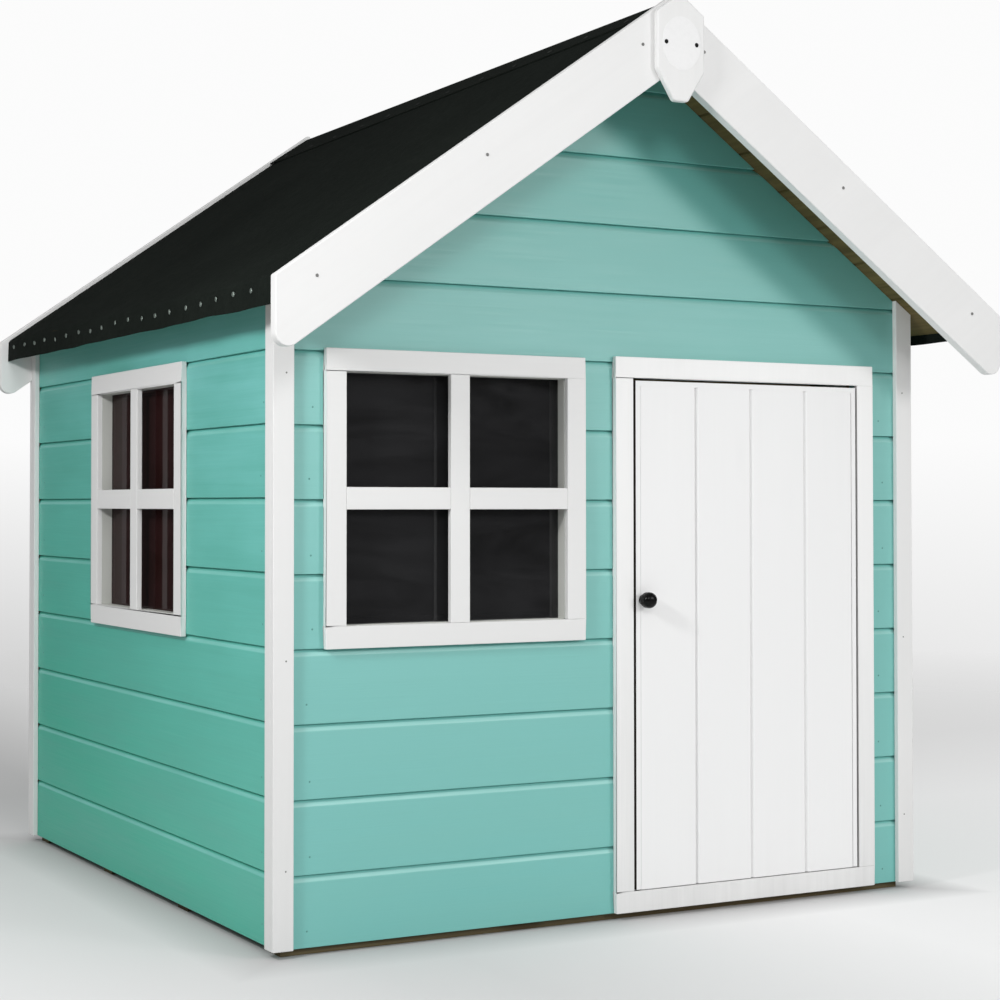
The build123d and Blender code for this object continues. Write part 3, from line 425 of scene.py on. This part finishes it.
# near-black brown for the door's edges: painted shade
shaded_door_edge = sawn_timber("door edge darkened as painted shade", (0.040, 0.033, 0.026), (0.020, 0.016, 0.012), "uprights")
raw_level = sawn_timber("treated framing, level", (0.40, 0.29, 0.14), (0.20, 0.13, 0.06), "level boards")
raw_upright = sawn_timber("treated framing, upright", (0.40, 0.29, 0.14), (0.20, 0.13, 0.06), "uprights")
raw_floor = sawn_timber("treated floor boards", (0.42, 0.31, 0.16), (0.22, 0.15, 0.07), "roof boards")
felt_sheet = roofing_felt("black mineral felt", (0.0070, 0.0095, 0.0078), (0.017, 0.022, 0.018))
felt_strip = roofing_felt("black mineral felt, ridge strip", (0.0080, 0.0105, 0.0088), (0.020, 0.025, 0.021))
zinc = fitting_metal("dull zinc", (0.40, 0.46, 0.42), (0.16, 0.20, 0.18), 0.5)
dark_zinc = fitting_metal("weathered nail heads", (0.030, 0.034, 0.031), (0.018, 0.020, 0.018), 0.7, 0.3)
filled = fitting_metal("nail heads under thin paint", (0.24, 0.24, 0.235), (0.12, 0.12, 0.11), 0.6, 0.2)
black_gloss = fitting_metal("black gloss enamel", (0.004, 0.004, 0.004), (0.006, 0.006, 0.006), 0.14, 0.0,
                            0.00001)
black_gloss.node_tree.nodes["Principled BSDF"].inputs["Specular IOR Level"].default_value = 0.15
steel = fitting_metal("plated steel", (0.62, 0.62, 0.60), (0.40, 0.40, 0.38), 0.28)
brass = fitting_metal("plain brass", (0.72, 0.52, 0.22), (0.45, 0.32, 0.14), 0.30)
catch_plastic = fitting_metal("brown moulding", (0.10, 0.06, 0.035), (0.07, 0.045, 0.03), 0.45, 0.0)
label = fitting_metal("blank label stock", (0.81, 0.81, 0.81), (0.79, 0.79, 0.79), 0.30, 0.0, 0.00001)
mint_pip = painted_timber("mint paint over nail heads", (0.10, 0.30, 0.27), (0.07, 0.22, 0.20),
                          "level boards")
# pane colours: the dark room behind as painted shade, with a paler band of painted light lower down
glass_front = glazing("front glazing", (0.004, 0.004, 0.004), (0.019, 0.019, 0.020), 0.850, 0.4)
glass_side = glazing("side glazing", (0.010, 0.003, 0.002), (0.024, 0.009, 0.009), 0.900, 0.06)


# ---------------------------------------------------------------- mesh helpers
def place_mesh(name, mesh_builder, material, body, replaced, smooth_angle):
    """Turns a bmesh into a piece at the origin that rides on a body."""
    mesh = bpy.data.meshes.new(name)
    mesh_builder.to_mesh(mesh)
    mesh_builder.free()
    piece = bpy.data.objects.new(name, mesh)
    bpy.context.scene.collection.objects.link(piece)
    mesh.materials.append(material)
    mesh.polygons.foreach_set("use_smooth", [True] * len(mesh.polygons))
    sharp_by_angle(mesh, smooth_angle)
    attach(piece, body)
    if replaced:
        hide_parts(*replaced)
    return piece


def sharp_by_angle(mesh, angle):
    """Marks edges sharper than an angle, so smooth shading stops there."""
    shape = bmesh.new()
    shape.from_mesh(mesh)
    for edge in shape.edges:
        edge.smooth = len(edge.link_faces) == 2 and edge.calc_face_angle(0.0) < angle
    shape.to_mesh(mesh)
    shape.free()


def islands(shape):
    """The separate closed parts of a bmesh, each a list of vertices."""
    seen = set()
    groups = []
    for start in shape.verts:
        if start in seen:
            continue
        group = []
        waiting = [start]
        seen.add(start)
        while waiting:
            vertex = waiting.pop()
            group.append(vertex)
            for edge in vertex.link_edges:
                other = edge.other_vert(vertex)
                if other not in seen:
                    seen.add(other)
                    waiting.append(other)
        groups.append(group)
    return groups


def grain_map(shape, seed):
    """Lays a map on each board: first value along its longest edge, second across it."""
    layer = shape.loops.layers.uv.new("grain")
    chance = random.Random(seed)
    for group in islands(shape):
        # kept in order, so that of several equally long edges the same one is taken every time
        edges = dict.fromkeys(edge for vertex in group for edge in vertex.link_edges)
        longest = max(edges, key=lambda edge: round(edge.calc_length(), 5))
        along = (longest.verts[1].co - longest.verts[0].co).normalized()
        side = Vector((0, 1, 0)) if abs(along.y) < 0.7 else Vector((1, 0, 0))
        across = along.cross(side).normalized()
        deep = along.cross(across)
        shift = chance.uniform(-40, 40)
        for face in dict.fromkeys(face for vertex in group for face in vertex.link_faces):
            for loop in face.loops:
                place = loop.vert.co
                loop[layer].uv = (place.dot(along) + shift, place.dot(across) + place.dot(deep) + shift)


def weighted_normals(mesh, angle):
    """Corner normals weighted by face area, so a flat face stays flat beside an eased corner."""
    faces_at = [[] for _ in mesh.vertices]
    for polygon in mesh.polygons:
        for index in polygon.vertices:
            faces_at[index].append(polygon)
    limit = math.cos(angle)
    normals = []
    for polygon in mesh.polygons:
        for index in polygon.vertices:
            total = Vector()
            for other in faces_at[index]:
                if polygon.normal.dot(other.normal) > limit:
                    total += other.normal * other.area
            normals.append(total.normalized() if total.length > 0 else polygon.normal.copy())
    mesh.normals_split_custom_set(normals)


def eased(node, material, body, ease, seed, segments=2, shrink=0.0):
    """A timber node with its sharp corners taken off and a grain map on each board."""
    shape = bmesh.new()
    shape.from_mesh(nodes[node].data)
    bmesh.ops.remove_doubles(shape, verts=shape.verts, dist=1e-5)
    bmesh.ops.dissolve_limit(shape, angle_limit=math.radians(0.5), verts=shape.verts, edges=shape.edges)
    if shrink:
        for group in islands(shape):
            middle = (min(v.co.x for v in group) + max(v.co.x for v in group)) / 2
            for vertex in group:
                vertex.co.x -= math.copysign(shrink, vertex.co.x - middle)
    corners = [edge for edge in shape.edges
               if len(edge.link_faces) == 2 and edge.calc_face_angle(0.0) > math.radians(25)]
    bmesh.ops.bevel(shape, geom=corners, offset=ease, offset_type="OFFSET", segments=segments,
                    profile=0.5, affect="EDGES", clamp_overlap=True, material=-1)
    grain_map(shape, seed)
    piece = place_mesh(f"{node}_eased", shape, material, body, (node,), math.radians(50))
    weighted_normals(piece.data, math.radians(50))
    return piece


def run_along_roof(profile, y0, y1, cuts_across, cuts_along):
    """A sheet from a profile of (x, z) points, drawn out along the roof and divided."""
    shape = bmesh.new()
    points = [shape.verts.new((x, y0, z)) for x, z in profile]
    edges = [shape.edges.new(pair) for pair in zip(points, points[1:])]
    long_edges = [edge for edge in edges if edge.calc_length() > 0.06]
    bmesh.ops.subdivide_edges(shape, edges=long_edges, cuts=cuts_across, use_grid_fill=False)
    drawn = bmesh.ops.extrude_edge_only(shape, edges=list(shape.edges))["geom"]
    far = [item for item in drawn if isinstance(item, bmesh.types.BMVert)]
    bmesh.ops.translate(shape, verts=far, vec=(0, y1 - y0, 0))
    lengthwise = [edge for edge in shape.edges if abs(edge.verts[0].co.y - edge.verts[1].co.y) > 0.5]
    bmesh.ops.subdivide_edges(shape, edges=lengthwise, cuts=cuts_along, use_grid_fill=True)
    bmesh.ops.recalc_face_normals(shape, faces=shape.faces)
    return shape


def drop_at(x, lift=0.0):
    """Height of the felt's top face at x, plus a lift square to the slope."""
    return FELT_TOP_Z - math.tan(PITCH) * abs(x) + lift / math.cos(PITCH)


# ---------------------------------------------------------------- painted timber
nodes_by_material = {
    raw_roof: ("roof_boards_left", "roof_boards_right"),
    raw_bearer: ("base_bearers",),
    raw_floor: ("floor_boards",),
    raw_level: ("door_threshold", "rafters"),
    raw_upright: ("frame_front", "frame_back", "frame_left", "frame_right", "door_stops"),
    zinc: ("pivot_top", "pivot_bottom"),
    steel: ("catch_strike", "knob_screw"),
    brass: ("door_bushes",),
    catch_plastic: ("catch_magnet",),
    glass_front: ("window_pane_front",),
    glass_side: ("window_pane_left",),
    filled: ("barge_nails",),
}
for material, names in nodes_by_material.items():
    for name in names:
        mesh = nodes[name].data
        mesh.materials.clear()
        mesh.materials.append(material)

SOFT_EDGE = 0.0012
# the face of each wall's boards that looks into the house is left bare
INWARD = {"cladding_front": (0, 1, 0), "cladding_front_notched": (0, 1, 0), "cladding_back": (0, -1, 0),
          "cladding_left": (1, 0, 0), "cladding_left_notched": (1, 0, 0), "cladding_right": (-1, 0, 0)}
for seed, (name, inward) in enumerate(INWARD.items(), 60):
    boards = eased(name, mint_front if inward[1] else mint_side_shaded, "house", 0.0010, seed)
    boards.data.materials.append(raw_level)
    for polygon in boards.data.polygons:
        if polygon.normal.dot(Vector(inward)) > 0.99:
            polygon.material_index = 1
for seed, name in enumerate(("corner_strips_front", "corner_strips_back", "corner_strips_side",
                             "window_surround_front", "window_surround_left", "glazing_bars_front",
                             "glazing_bars_left")):
    eased(name, white_trim, "house", SOFT_EDGE, seed)
eased("door_surround", white_surround_lit, "house", SOFT_EDGE, 7)
for seed, name in enumerate(("bargeboards_front", "bargeboards_back"), 20):
    eased(name, white_trim, "house", 0.0018, seed, 3)
for seed, name in enumerate(("pane_beads_front", "pane_beads_left"), 30):
    eased(name, white_trim, "house", 0.0008, seed)
eased("finial_plaque", white_trim, "house", 0.003, 40, 4)
leaf_boards = eased("door_boards", white_door_lit, "door", 0.0006, 41, shrink=0.0005)
leaf_frame = eased("door_frame", white_door_lit, "door", 0.0008, 42)
# the leaf's outer edges and the sides of its boards get a near-black brown: painted shade, so the gap round
# the leaf and the joints between its boards read dark
AT_EDGE = 0.0004
for piece in (leaf_boards, leaf_frame):
    piece.data.materials.append(shaded_door_edge)
for polygon in leaf_boards.data.polygons:
    if abs(polygon.normal.x) > 0.97:
        polygon.material_index = 1
leaf_low, leaf_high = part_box("door_frame")
for polygon in leaf_frame.data.polygons:
    x, z = polygon.center.x, polygon.center.z
    at_side = min(x - leaf_low[0], leaf_high[0] - x) < AT_EDGE and abs(polygon.normal.x) > 0.9
    at_end = min(z - leaf_low[2], leaf_high[2] - z) < AT_EDGE and abs(polygon.normal.z) > 0.9
    if at_side or at_end:
        polygon.material_index = 1


def window_reveal(side):
    """Paint on the four faces of a window opening, from the trim in to the pane, greyer than the trims:
    painted shade of the recess.
    """
    trim_low, trim_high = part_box(f"window_surround_{side}")
    pane_low, pane_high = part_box(f"window_pane_{side}")
    bar_low, bar_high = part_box(f"glazing_bars_{side}")
    skin = 0.0012
    shape = bmesh.new()
    across, deep = (0, 1) if side == "front" else (1, 0)
    outer = trim_high[deep] - 0.0005
    inner = pane_low[deep] - 0.0003
    for low_edge, axis in ((True, across), (False, across), (True, 2), (False, 2)):
        low = [bar_low[0], bar_low[1], bar_low[2]]
        high = [bar_high[0], bar_high[1], bar_high[2]]
        low[deep], high[deep] = outer, inner
        if low_edge:
            high[axis] = low[axis] + skin
        else:
            low[axis] = high[axis] - skin
        made = bmesh.ops.create_cube(shape, size=1.0)["verts"]
        for vertex in made:
            for index in range(3):
                share = vertex.co[index] + 0.5
                vertex.co[index] = low[index] + share * (high[index] - low[index])
    grain_map(shape, 50)
    return place_mesh(f"window_reveal_{side}", shape, reveal_shade_paint, "house", (), math.radians(40))


window_reveal("front")
window_reveal("left")

# ---------------------------------------------------------------- felt
FELT_T = 0.0025


def felt_slope(side):
    """Felt over one slope, folded down over the eave, lying in slow waves."""
    sign = -1 if side == "left" else 1
    x_end = EAVE_X - 0.0012
    fold = 0.004
    z_eave = drop_at(x_end, -0.0012)
    profile = [(0, drop_at(0, -0.0012)), (x_end - fold, drop_at(x_end - fold, -0.0012)),
               (x_end - 0.0012, z_eave - 0.0006), (x_end, z_eave - 0.003), (x_end, FLAP_Z + 0.001)]
    shape = run_along_roof([(sign * x, z) for x, z in profile], ROOF_Y0 + 0.0005, ROOF_Y1 - 0.0005, 26, 60)
    for vertex in shape.verts:
        place = vertex.co
        along_eave = noise.noise(Vector((place.y * 9, sign * 3.1, 0)))
        if place.z < z_eave - 0.004:
            depth = (z_eave - place.z) / (z_eave - FLAP_Z)
            place.z += 0.0022 * along_eave * depth
            place.x += sign * 0.0016 * depth * noise.noise(Vector((place.y * 14, 7.7, sign)))
        else:
            wave = 0.0007 * noise.noise(Vector((place.x * 5, place.y * 6, sign * 4.0)))
            place.z += wave + 0.0004 * noise.noise(place * 22)
    bmesh.ops.solidify(shape, geom=shape.faces, thickness=FELT_T * 0.8)
    return place_mesh(f"felt_{side}_sheet", shape, felt_sheet, "house", (f"felt_{side}",), math.radians(50))


for side in ("left", "right"):
    felt_slope(side)

CAP_HALF = 0.070
CAP_SKEW = 0.022


def cap_edge(sign, y):
    """Distance of the ridge strip's edge from the ridge: the strip was nailed on a little askew."""
    share = (y - ROOF_Y0) / (ROOF_Y1 - ROOF_Y0)
    return CAP_HALF - sign * CAP_SKEW * (2 * share - 1)


def ridge_strip():
    """The strip of felt folded over the ridge, slightly lifted at its back end."""
    lift = 0.0012
    half = CAP_HALF
    profile = [(-half, drop_at(half, lift)), (-0.006, drop_at(0.006, lift)), (0, drop_at(0.002, lift)),
               (0.006, drop_at(0.006, lift)), (half, drop_at(half, lift))]
    shape = run_along_roof(profile, ROOF_Y0 + 0.0005, ROOF_Y1 - 0.0005, 8, 60)
    for vertex in shape.verts:
        place = vertex.co
        sign = 1 if place.x > 0 else -1
        reach = abs(place.x) / half
        wide = cap_edge(sign, place.y)
        if reach > 0.1:
            place.x = sign * wide * reach
            end = max(0.0, (place.y - ROOF_Y1 + 0.09) / 0.09)
            ripple = 0.0007 * reach * noise.noise(Vector((place.y * 11, sign, 2)))
            lifted = lift + 0.0022 * end * reach + ripple
            place.z = drop_at(place.x, max(lift, lifted))
    bmesh.ops.solidify(shape, geom=shape.faces, thickness=FELT_T * 0.8)
    return place_mesh("ridge_cap_strip", shape, felt_strip, "house", ("ridge_cap",), math.radians(50))


ridge_strip()


# ---------------------------------------------------------------- nails, screws, knob, label
def domed_head(shape, centre, normal, radius, height, rings=3, sides=14):
    """A nail head: a shallow dome on a short rim, pressed against a face."""
    made = bmesh.ops.create_uvsphere(shape, u_segments=sides, v_segments=2 * rings, radius=1.0)["verts"]
    low = [vertex for vertex in made if vertex.co.z < -0.01]
    bmesh.ops.delete(shape, geom=low, context="VERTS")
    cap = [vertex for vertex in made if vertex.is_valid]
    rim = [edge for edge in dict.fromkeys(e for v in cap for e in v.link_edges) if edge.is_boundary]
    drawn = bmesh.ops.extrude_edge_only(shape, edges=rim)["geom"]
    low_ring = [item for item in drawn if isinstance(item, bmesh.types.BMVert)]
    bmesh.ops.translate(shape, verts=low_ring, vec=(0, 0, -0.6))
    bmesh.ops.contextual_create(shape, geom=[item for item in drawn if isinstance(item, bmesh.types.BMEdge)])
    verts = cap + low_ring
    turn = Vector((0, 0, 1)).rotation_difference(normal).to_matrix().to_4x4()
    matrix = Matrix.Translation(centre) @ turn @ Matrix.Diagonal((radius, radius, height, 1))
    bmesh.ops.transform(shape, matrix=matrix, verts=verts)


def eave_nails():
    """Clout nails through the felt flap, spaced along it."""
    shape = bmesh.new()
    chance = random.Random(5)
    low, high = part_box("eave_nails")
    count = 19
    middle = (low[2] + high[2]) / 2
    for sign in (-1, 1):
        for index in range(count):
            y = low[1] + 0.0045 + (high[1] - low[1] - 0.009) * index / (count - 1)
            centre = Vector((sign * (EAVE_X + 0.0002), y + chance.uniform(-0.004, 0.004),
                             middle + chance.uniform(-0.0025, 0.0025)))
            tilt = Vector((sign, chance.uniform(-0.12, 0.12), chance.uniform(-0.12, 0.12))).normalized()
            domed_head(shape, centre, tilt, 0.0040, 0.0011)
    return place_mesh("eave_clout_nails", shape, zinc, "house", ("eave_nails",), math.radians(50))


def cap_nails():
    """Clout nails along both edges of the ridge strip."""
    shape = bmesh.new()
    chance = random.Random(6)
    for sign in (-1, 1):
        for index in range(12):
            y = ROOF_Y0 + (ROOF_Y1 - ROOF_Y0) * (index + 0.5) / 12 + chance.uniform(-0.006, 0.006)
            x = sign * (cap_edge(sign, y) - 0.013)
            normal = Vector((sign * math.sin(PITCH), 0, math.cos(PITCH)))
            domed_head(shape, Vector((x, y, drop_at(x, 0.0024))), normal, 0.0045, 0.0009)
    return place_mesh("ridge_clout_nails", shape, dark_zinc, "house", ("ridge_cap_nails",), math.radians(50))


eave_nails()
cap_nails()


PIP = {"height": 0.00025, "rings": 2, "sides": 10}


def board_pips():
    """Small nail heads under the paint, where boards cross the studs."""
    shape = bmesh.new()
    chance = random.Random(7)
    for sign, y in ((-1, FRONT_Y), (1, BACK_Y)):
        for row in range(8):
            z = LAP_Z + BOARD_COVER * row + 0.030 + chance.uniform(-0.004, 0.004)
            for x in (-0.548, 0.548):
                centre = Vector((x + chance.uniform(-0.006, 0.006), y + sign * 0.0001, z))
                domed_head(shape, centre, Vector((0, sign, 0)), 0.0016, **PIP)
    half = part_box("corner_strips_side")[1][0] - 0.010
    for sign in (-1, 1):
        for row in range(8):
            z = LAP_Z + BOARD_COVER * row + 0.033 + chance.uniform(-0.004, 0.004)
            for y in (FRONT_Y + 0.055, BACK_Y - 0.055):
                centre = Vector((sign * half, y + chance.uniform(-0.006, 0.006), z))
                domed_head(shape, centre, Vector((sign, 0, 0)), 0.0016, **PIP)
    return place_mesh("board_nail_pips", shape, mint_pip, "house", (), math.radians(50))


def strip_pips():
    """Nail heads that show as small grey dots on the corner strips."""
    shape = bmesh.new()
    low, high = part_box("corner_strips_front")
    for x in (low[0] + 0.021, high[0] - 0.021):
        for z in (0.13, 0.44, 0.868):
            domed_head(shape, Vector((x, low[1] - 0.0001, z)), Vector((0, -1, 0)), 0.0014, **PIP)
    return place_mesh("strip_nail_pips", shape, filled, "house", (), math.radians(50))


board_pips()
strip_pips()


def turned_knob():
    """The black knob, turned in one piece: rose, neck and domed head."""
    low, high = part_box("door_knob")
    centre = Vector(((low[0] + high[0]) / 2, high[1], (low[2] + high[2]) / 2))
    radius = (high[0] - low[0]) / 2
    length = high[1] - low[1]
    rose = 0.0085
    neck = 0.005
    shape = bmesh.new()
    shoulder = 0.0180
    outline = [(0.0021, 0), (rose, 0), (rose, 0.0018), (rose - 0.0008, 0.0026), (neck + 0.001, 0.0030),
               (neck, 0.0045), (neck + 0.0012, 0.0062), (radius * 0.80, 0.0078), (radius * 0.94, 0.0090),
               (radius, 0.0116), (radius, shoulder)]
    for step in range(1, 13):
        turn = math.radians(90 * step / 12)
        outline.append((radius * math.cos(turn) ** 0.8, shoulder + (length - shoulder) * math.sin(turn)))
    points = [shape.verts.new((r, 0, h)) for r, h in outline]
    edges = [shape.edges.new(pair) for pair in zip(points, points[1:])]
    bmesh.ops.spin(shape, geom=points + edges, cent=(0, 0, 0), axis=(0, 0, 1), dvec=(0, 0, 0),
                   angle=math.tau, steps=40, use_merge=True)
    bmesh.ops.remove_doubles(shape, verts=shape.verts, dist=1e-6)
    bmesh.ops.holes_fill(shape, edges=[edge for edge in shape.edges if edge.is_boundary], sides=0)
    bmesh.ops.recalc_face_normals(shape, faces=shape.faces)
    matrix = Matrix.Translation(centre) @ Matrix.Rotation(math.radians(90), 4, "X")
    bmesh.ops.transform(shape, matrix=matrix, verts=shape.verts)
    return place_mesh("door_knob_turned", shape, black_gloss, "door", ("door_knob",), math.radians(45))


def plaque_screws():
    """Two black pan-head screws, each with a cross recess."""
    shape = bmesh.new()
    low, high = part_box("finial_screws")
    for x in (low[0] + 0.004, high[0] - 0.004):
        z = (low[2] + high[2]) / 2
        start = len(shape.verts)
        domed_head(shape, Vector((x, high[1] - 0.0004, z)), Vector((0, -1, 0)), 0.0036, 0.0014, 4, 24)
        shape.verts.ensure_lookup_table()
        for vertex in shape.verts[start:]:
            across = min(abs(vertex.co.x - x), abs(vertex.co.z - z))
            away = math.hypot(vertex.co.x - x, vertex.co.z - z)
            if across < 0.0005 and away < 0.0020:
                vertex.co.y += 0.0006
    return place_mesh("plaque_screws", shape, black_gloss, "house", ("finial_screws",), math.radians(50))


def plaque_label():
    """A blank oval label, stuck on the plaque."""
    low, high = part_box("finial_disc")
    shape = bmesh.new()
    made = bmesh.ops.create_circle(shape, cap_ends=True, segments=72, radius=1.0)["verts"]
    bmesh.ops.scale(shape, verts=made, vec=(0.036, 0.042, 1.0))
    turn = Matrix.Rotation(math.radians(90), 4, "X")
    centre = Vector(((low[0] + high[0]) / 2, high[1], (low[2] + high[2]) / 2))
    bmesh.ops.transform(shape, matrix=Matrix.Translation(centre) @ turn, verts=shape.verts)
    raised = bmesh.ops.extrude_face_region(shape, geom=list(shape.faces))["geom"]
    top = [item for item in raised if isinstance(item, bmesh.types.BMVert)]
    bmesh.ops.translate(shape, verts=top, vec=(0, -0.0004, 0))
    bmesh.ops.recalc_face_normals(shape, faces=shape.faces)
    return place_mesh("plaque_label", shape, label, "house", ("finial_disc",), math.radians(40))


turned_knob()
plaque_screws()
plaque_label()


# ---------------------------------------------------------------- floor, lights and camera
def studio_floor():
    """A wide pale floor that fades out at its edge.  It glows as painted light, more to the right and to the
    front, and not under or near the house: a painted contact shadow.
    """
    shape = bmesh.new()
    bmesh.ops.create_circle(shape, cap_ends=True, segments=96, radius=12.0)
    mesh = bpy.data.meshes.new("studio_floor")
    shape.to_mesh(mesh)
    shape.free()
    floor = bpy.data.objects.new("studio_floor", mesh)
    bpy.context.scene.collection.objects.link(floor)
    material, tree, shader = start_material("pale studio floor")
    shader.inputs["Base Color"].default_value = (0.46, 0.46, 0.46, 1)
    shader.inputs["Emission Color"].default_value = (1, 1, 1, 1)
    shader.inputs["Roughness"].default_value = 0.9
    shader.inputs["Specular IOR Level"].default_value = 0.1
    place = add(tree, "ShaderNodeTexCoord").outputs["Object"]
    split = add(tree, "ShaderNodeSeparateXYZ")
    tree.links.new(place, split.inputs[0])
    half_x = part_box("cladding_right")[1][0]
    half_y = (BACK_Y - FRONT_Y) / 2
    middle_y = (BACK_Y + FRONT_Y) / 2
    out_x = math_node(tree, "SUBTRACT", math_node(tree, "ABSOLUTE", split.outputs[0]), half_x)
    from_middle = math_node(tree, "SUBTRACT", split.outputs[1], middle_y)
    out_y = math_node(tree, "SUBTRACT", math_node(tree, "ABSOLUTE", from_middle), half_y)
    outside = math_node(tree, "MAXIMUM", out_x, out_y)
    # the glow is painted light, stronger to the right and towards the front
    to_right = math_node(tree, "MULTIPLY", ramp(tree, split.outputs[0], -0.35, 0.35), 0.24)
    to_left = math_node(tree, "MULTIPLY", ramp(tree, split.outputs[0], -0.50, -1.00), 0.07)
    nearness = ramp(tree, split.outputs[1], 1.3, 0.3)
    near = math_node(tree, "ADD", 0.45, math_node(tree, "MULTIPLY", nearness, 0.55))
    painted_floor_light = math_node(tree, "MULTIPLY", math_node(tree, "ADD", 0.19, to_left), near)
    # no glow under or close to the house: a painted contact shadow
    painted_contact_shadow = ramp(tree, outside, -0.02, 0.11)
    painted_floor_light = math_node(tree, "MULTIPLY", math_node(tree, "ADD", painted_floor_light, to_right), painted_contact_shadow)
    tree.links.new(painted_floor_light, shader.inputs["Emission Strength"])
    far = add(tree, "ShaderNodeVectorMath", operation="LENGTH")
    tree.links.new(place, far.inputs[0])
    fade = ramp(tree, far.outputs["Value"], 1.2, 6.0)
    clear = add(tree, "ShaderNodeBsdfTransparent")
    blend = add(tree, "ShaderNodeMixShader")
    tree.links.new(fade, blend.inputs[0])
    tree.links.new(shader.outputs[0], blend.inputs[1])
    tree.links.new(clear.outputs[0], blend.inputs[2])
    tree.links.new(blend.outputs[0], tree.nodes["Material Output"].inputs["Surface"])
    mesh.materials.append(material)


def soft_light(name, place, aim, size, power):
    light = bpy.data.lights.new(name, "AREA")
    light.shape = "SQUARE"
    light.size = size
    light.energy = power
    lamp = bpy.data.objects.new(name, light)
    lamp.location = place
    lamp.rotation_euler = (Vector(aim) - Vector(place)).to_track_quat("-Z", "Y").to_euler()
    lamp.visible_camera = False
    bpy.context.scene.collection.objects.link(lamp)


def looked_at(tree):
    """The direction looked in, as its x, y and z."""
    split = add(tree, "ShaderNodeSeparateXYZ")
    tree.links.new(add(tree, "ShaderNodeTexCoord").outputs["Generated"], split.inputs[0])
    return split.outputs


def between(tree, value, low, high, to_low, to_high):
    """Maps low to high onto to_low to to_high; either end of the result can be another node's value."""
    node = add(tree, "ShaderNodeMapRange", in_From_Min=low, in_From_Max=high, in_To_Max=to_high)
    tree.links.new(value, node.inputs["Value"])
    if isinstance(to_low, (int, float)):
        node.inputs["To Min"].default_value = to_low
    else:
        tree.links.new(to_low, node.inputs["To Min"])
    return node.outputs["Result"]


def backdrop(tree, strength):
    back = add(tree, "ShaderNodeBackground", in_Color=(1, 1, 1, 1))
    if isinstance(strength, (int, float)):
        back.inputs["Strength"].default_value = strength
    else:
        tree.links.new(strength, back.inputs["Strength"])
    return back.outputs[0]


def surroundings(seen, fill_low, fill_high, mirrored):
    """A white room: one brightness as seen, one as fill light, and a dim one in mirror-like paint."""
    world = bpy.data.worlds.new("white room")
    bpy.context.scene.world = world
    world.use_nodes = True
    tree = world.node_tree
    tree.nodes.clear()
    path = add(tree, "ShaderNodeLightPath")
    x, _, z = looked_at(tree)
    lit = backdrop(tree, between(tree, z, -0.4, 1.0, fill_low, fill_high))
    far_floor = between(tree, x, 0.28, 0.69, 0.59, 0.78)
    shown = backdrop(tree, between(tree, z, -0.10, 0.03, far_floor, seen))
    dim = backdrop(tree, mirrored)
    glossy = add(tree, "ShaderNodeMixShader")
    tree.links.new(path.outputs["Is Glossy Ray"], glossy.inputs[0])
    tree.links.new(lit, glossy.inputs[1])
    tree.links.new(dim, glossy.inputs[2])
    blend = add(tree, "ShaderNodeMixShader")
    out = add(tree, "ShaderNodeOutputWorld")
    tree.links.new(path.outputs["Is Camera Ray"], blend.inputs[0])
    tree.links.new(glossy.outputs[0], blend.inputs[1])
    tree.links.new(shown, blend.inputs[2])
    tree.links.new(blend.outputs[0], out.inputs["Surface"])


studio_floor()
surroundings(0.970, 0.08, 0.80, 0.06)
soft_light("front_softbox", (-1.15, -4.10, 2.30), (0.0, -0.5, 0.75), 0.9, 33)
soft_light("front_panel", (2.20, -4.70, 1.85), (0.2, -0.5, 0.75), 1.0, 60)
soft_light("side_softbox", (-2.03, -1.15, 1.58), (-0.5, -0.1, 0.7), 0.30, 22)

camera_data = bpy.data.cameras.new("camera")
camera_data.sensor_width = 36.0
camera_data.lens = 72.48
camera_data.shift_x = 0.0725
camera_data.shift_y = -0.0404
camera_data.clip_end = 100.0
camera = bpy.data.objects.new("camera", camera_data)
camera.location = (-1.8053, -3.2680, 0.6721)
camera.rotation_euler = (math.radians(91.278), 0.0, math.radians(-27.948))
bpy.context.scene.collection.objects.link(camera)
bpy.context.scene.camera = camera
bpy.context.scene.view_settings.view_transform = "Standard"
bpy.context.scene.view_settings.look = "None"
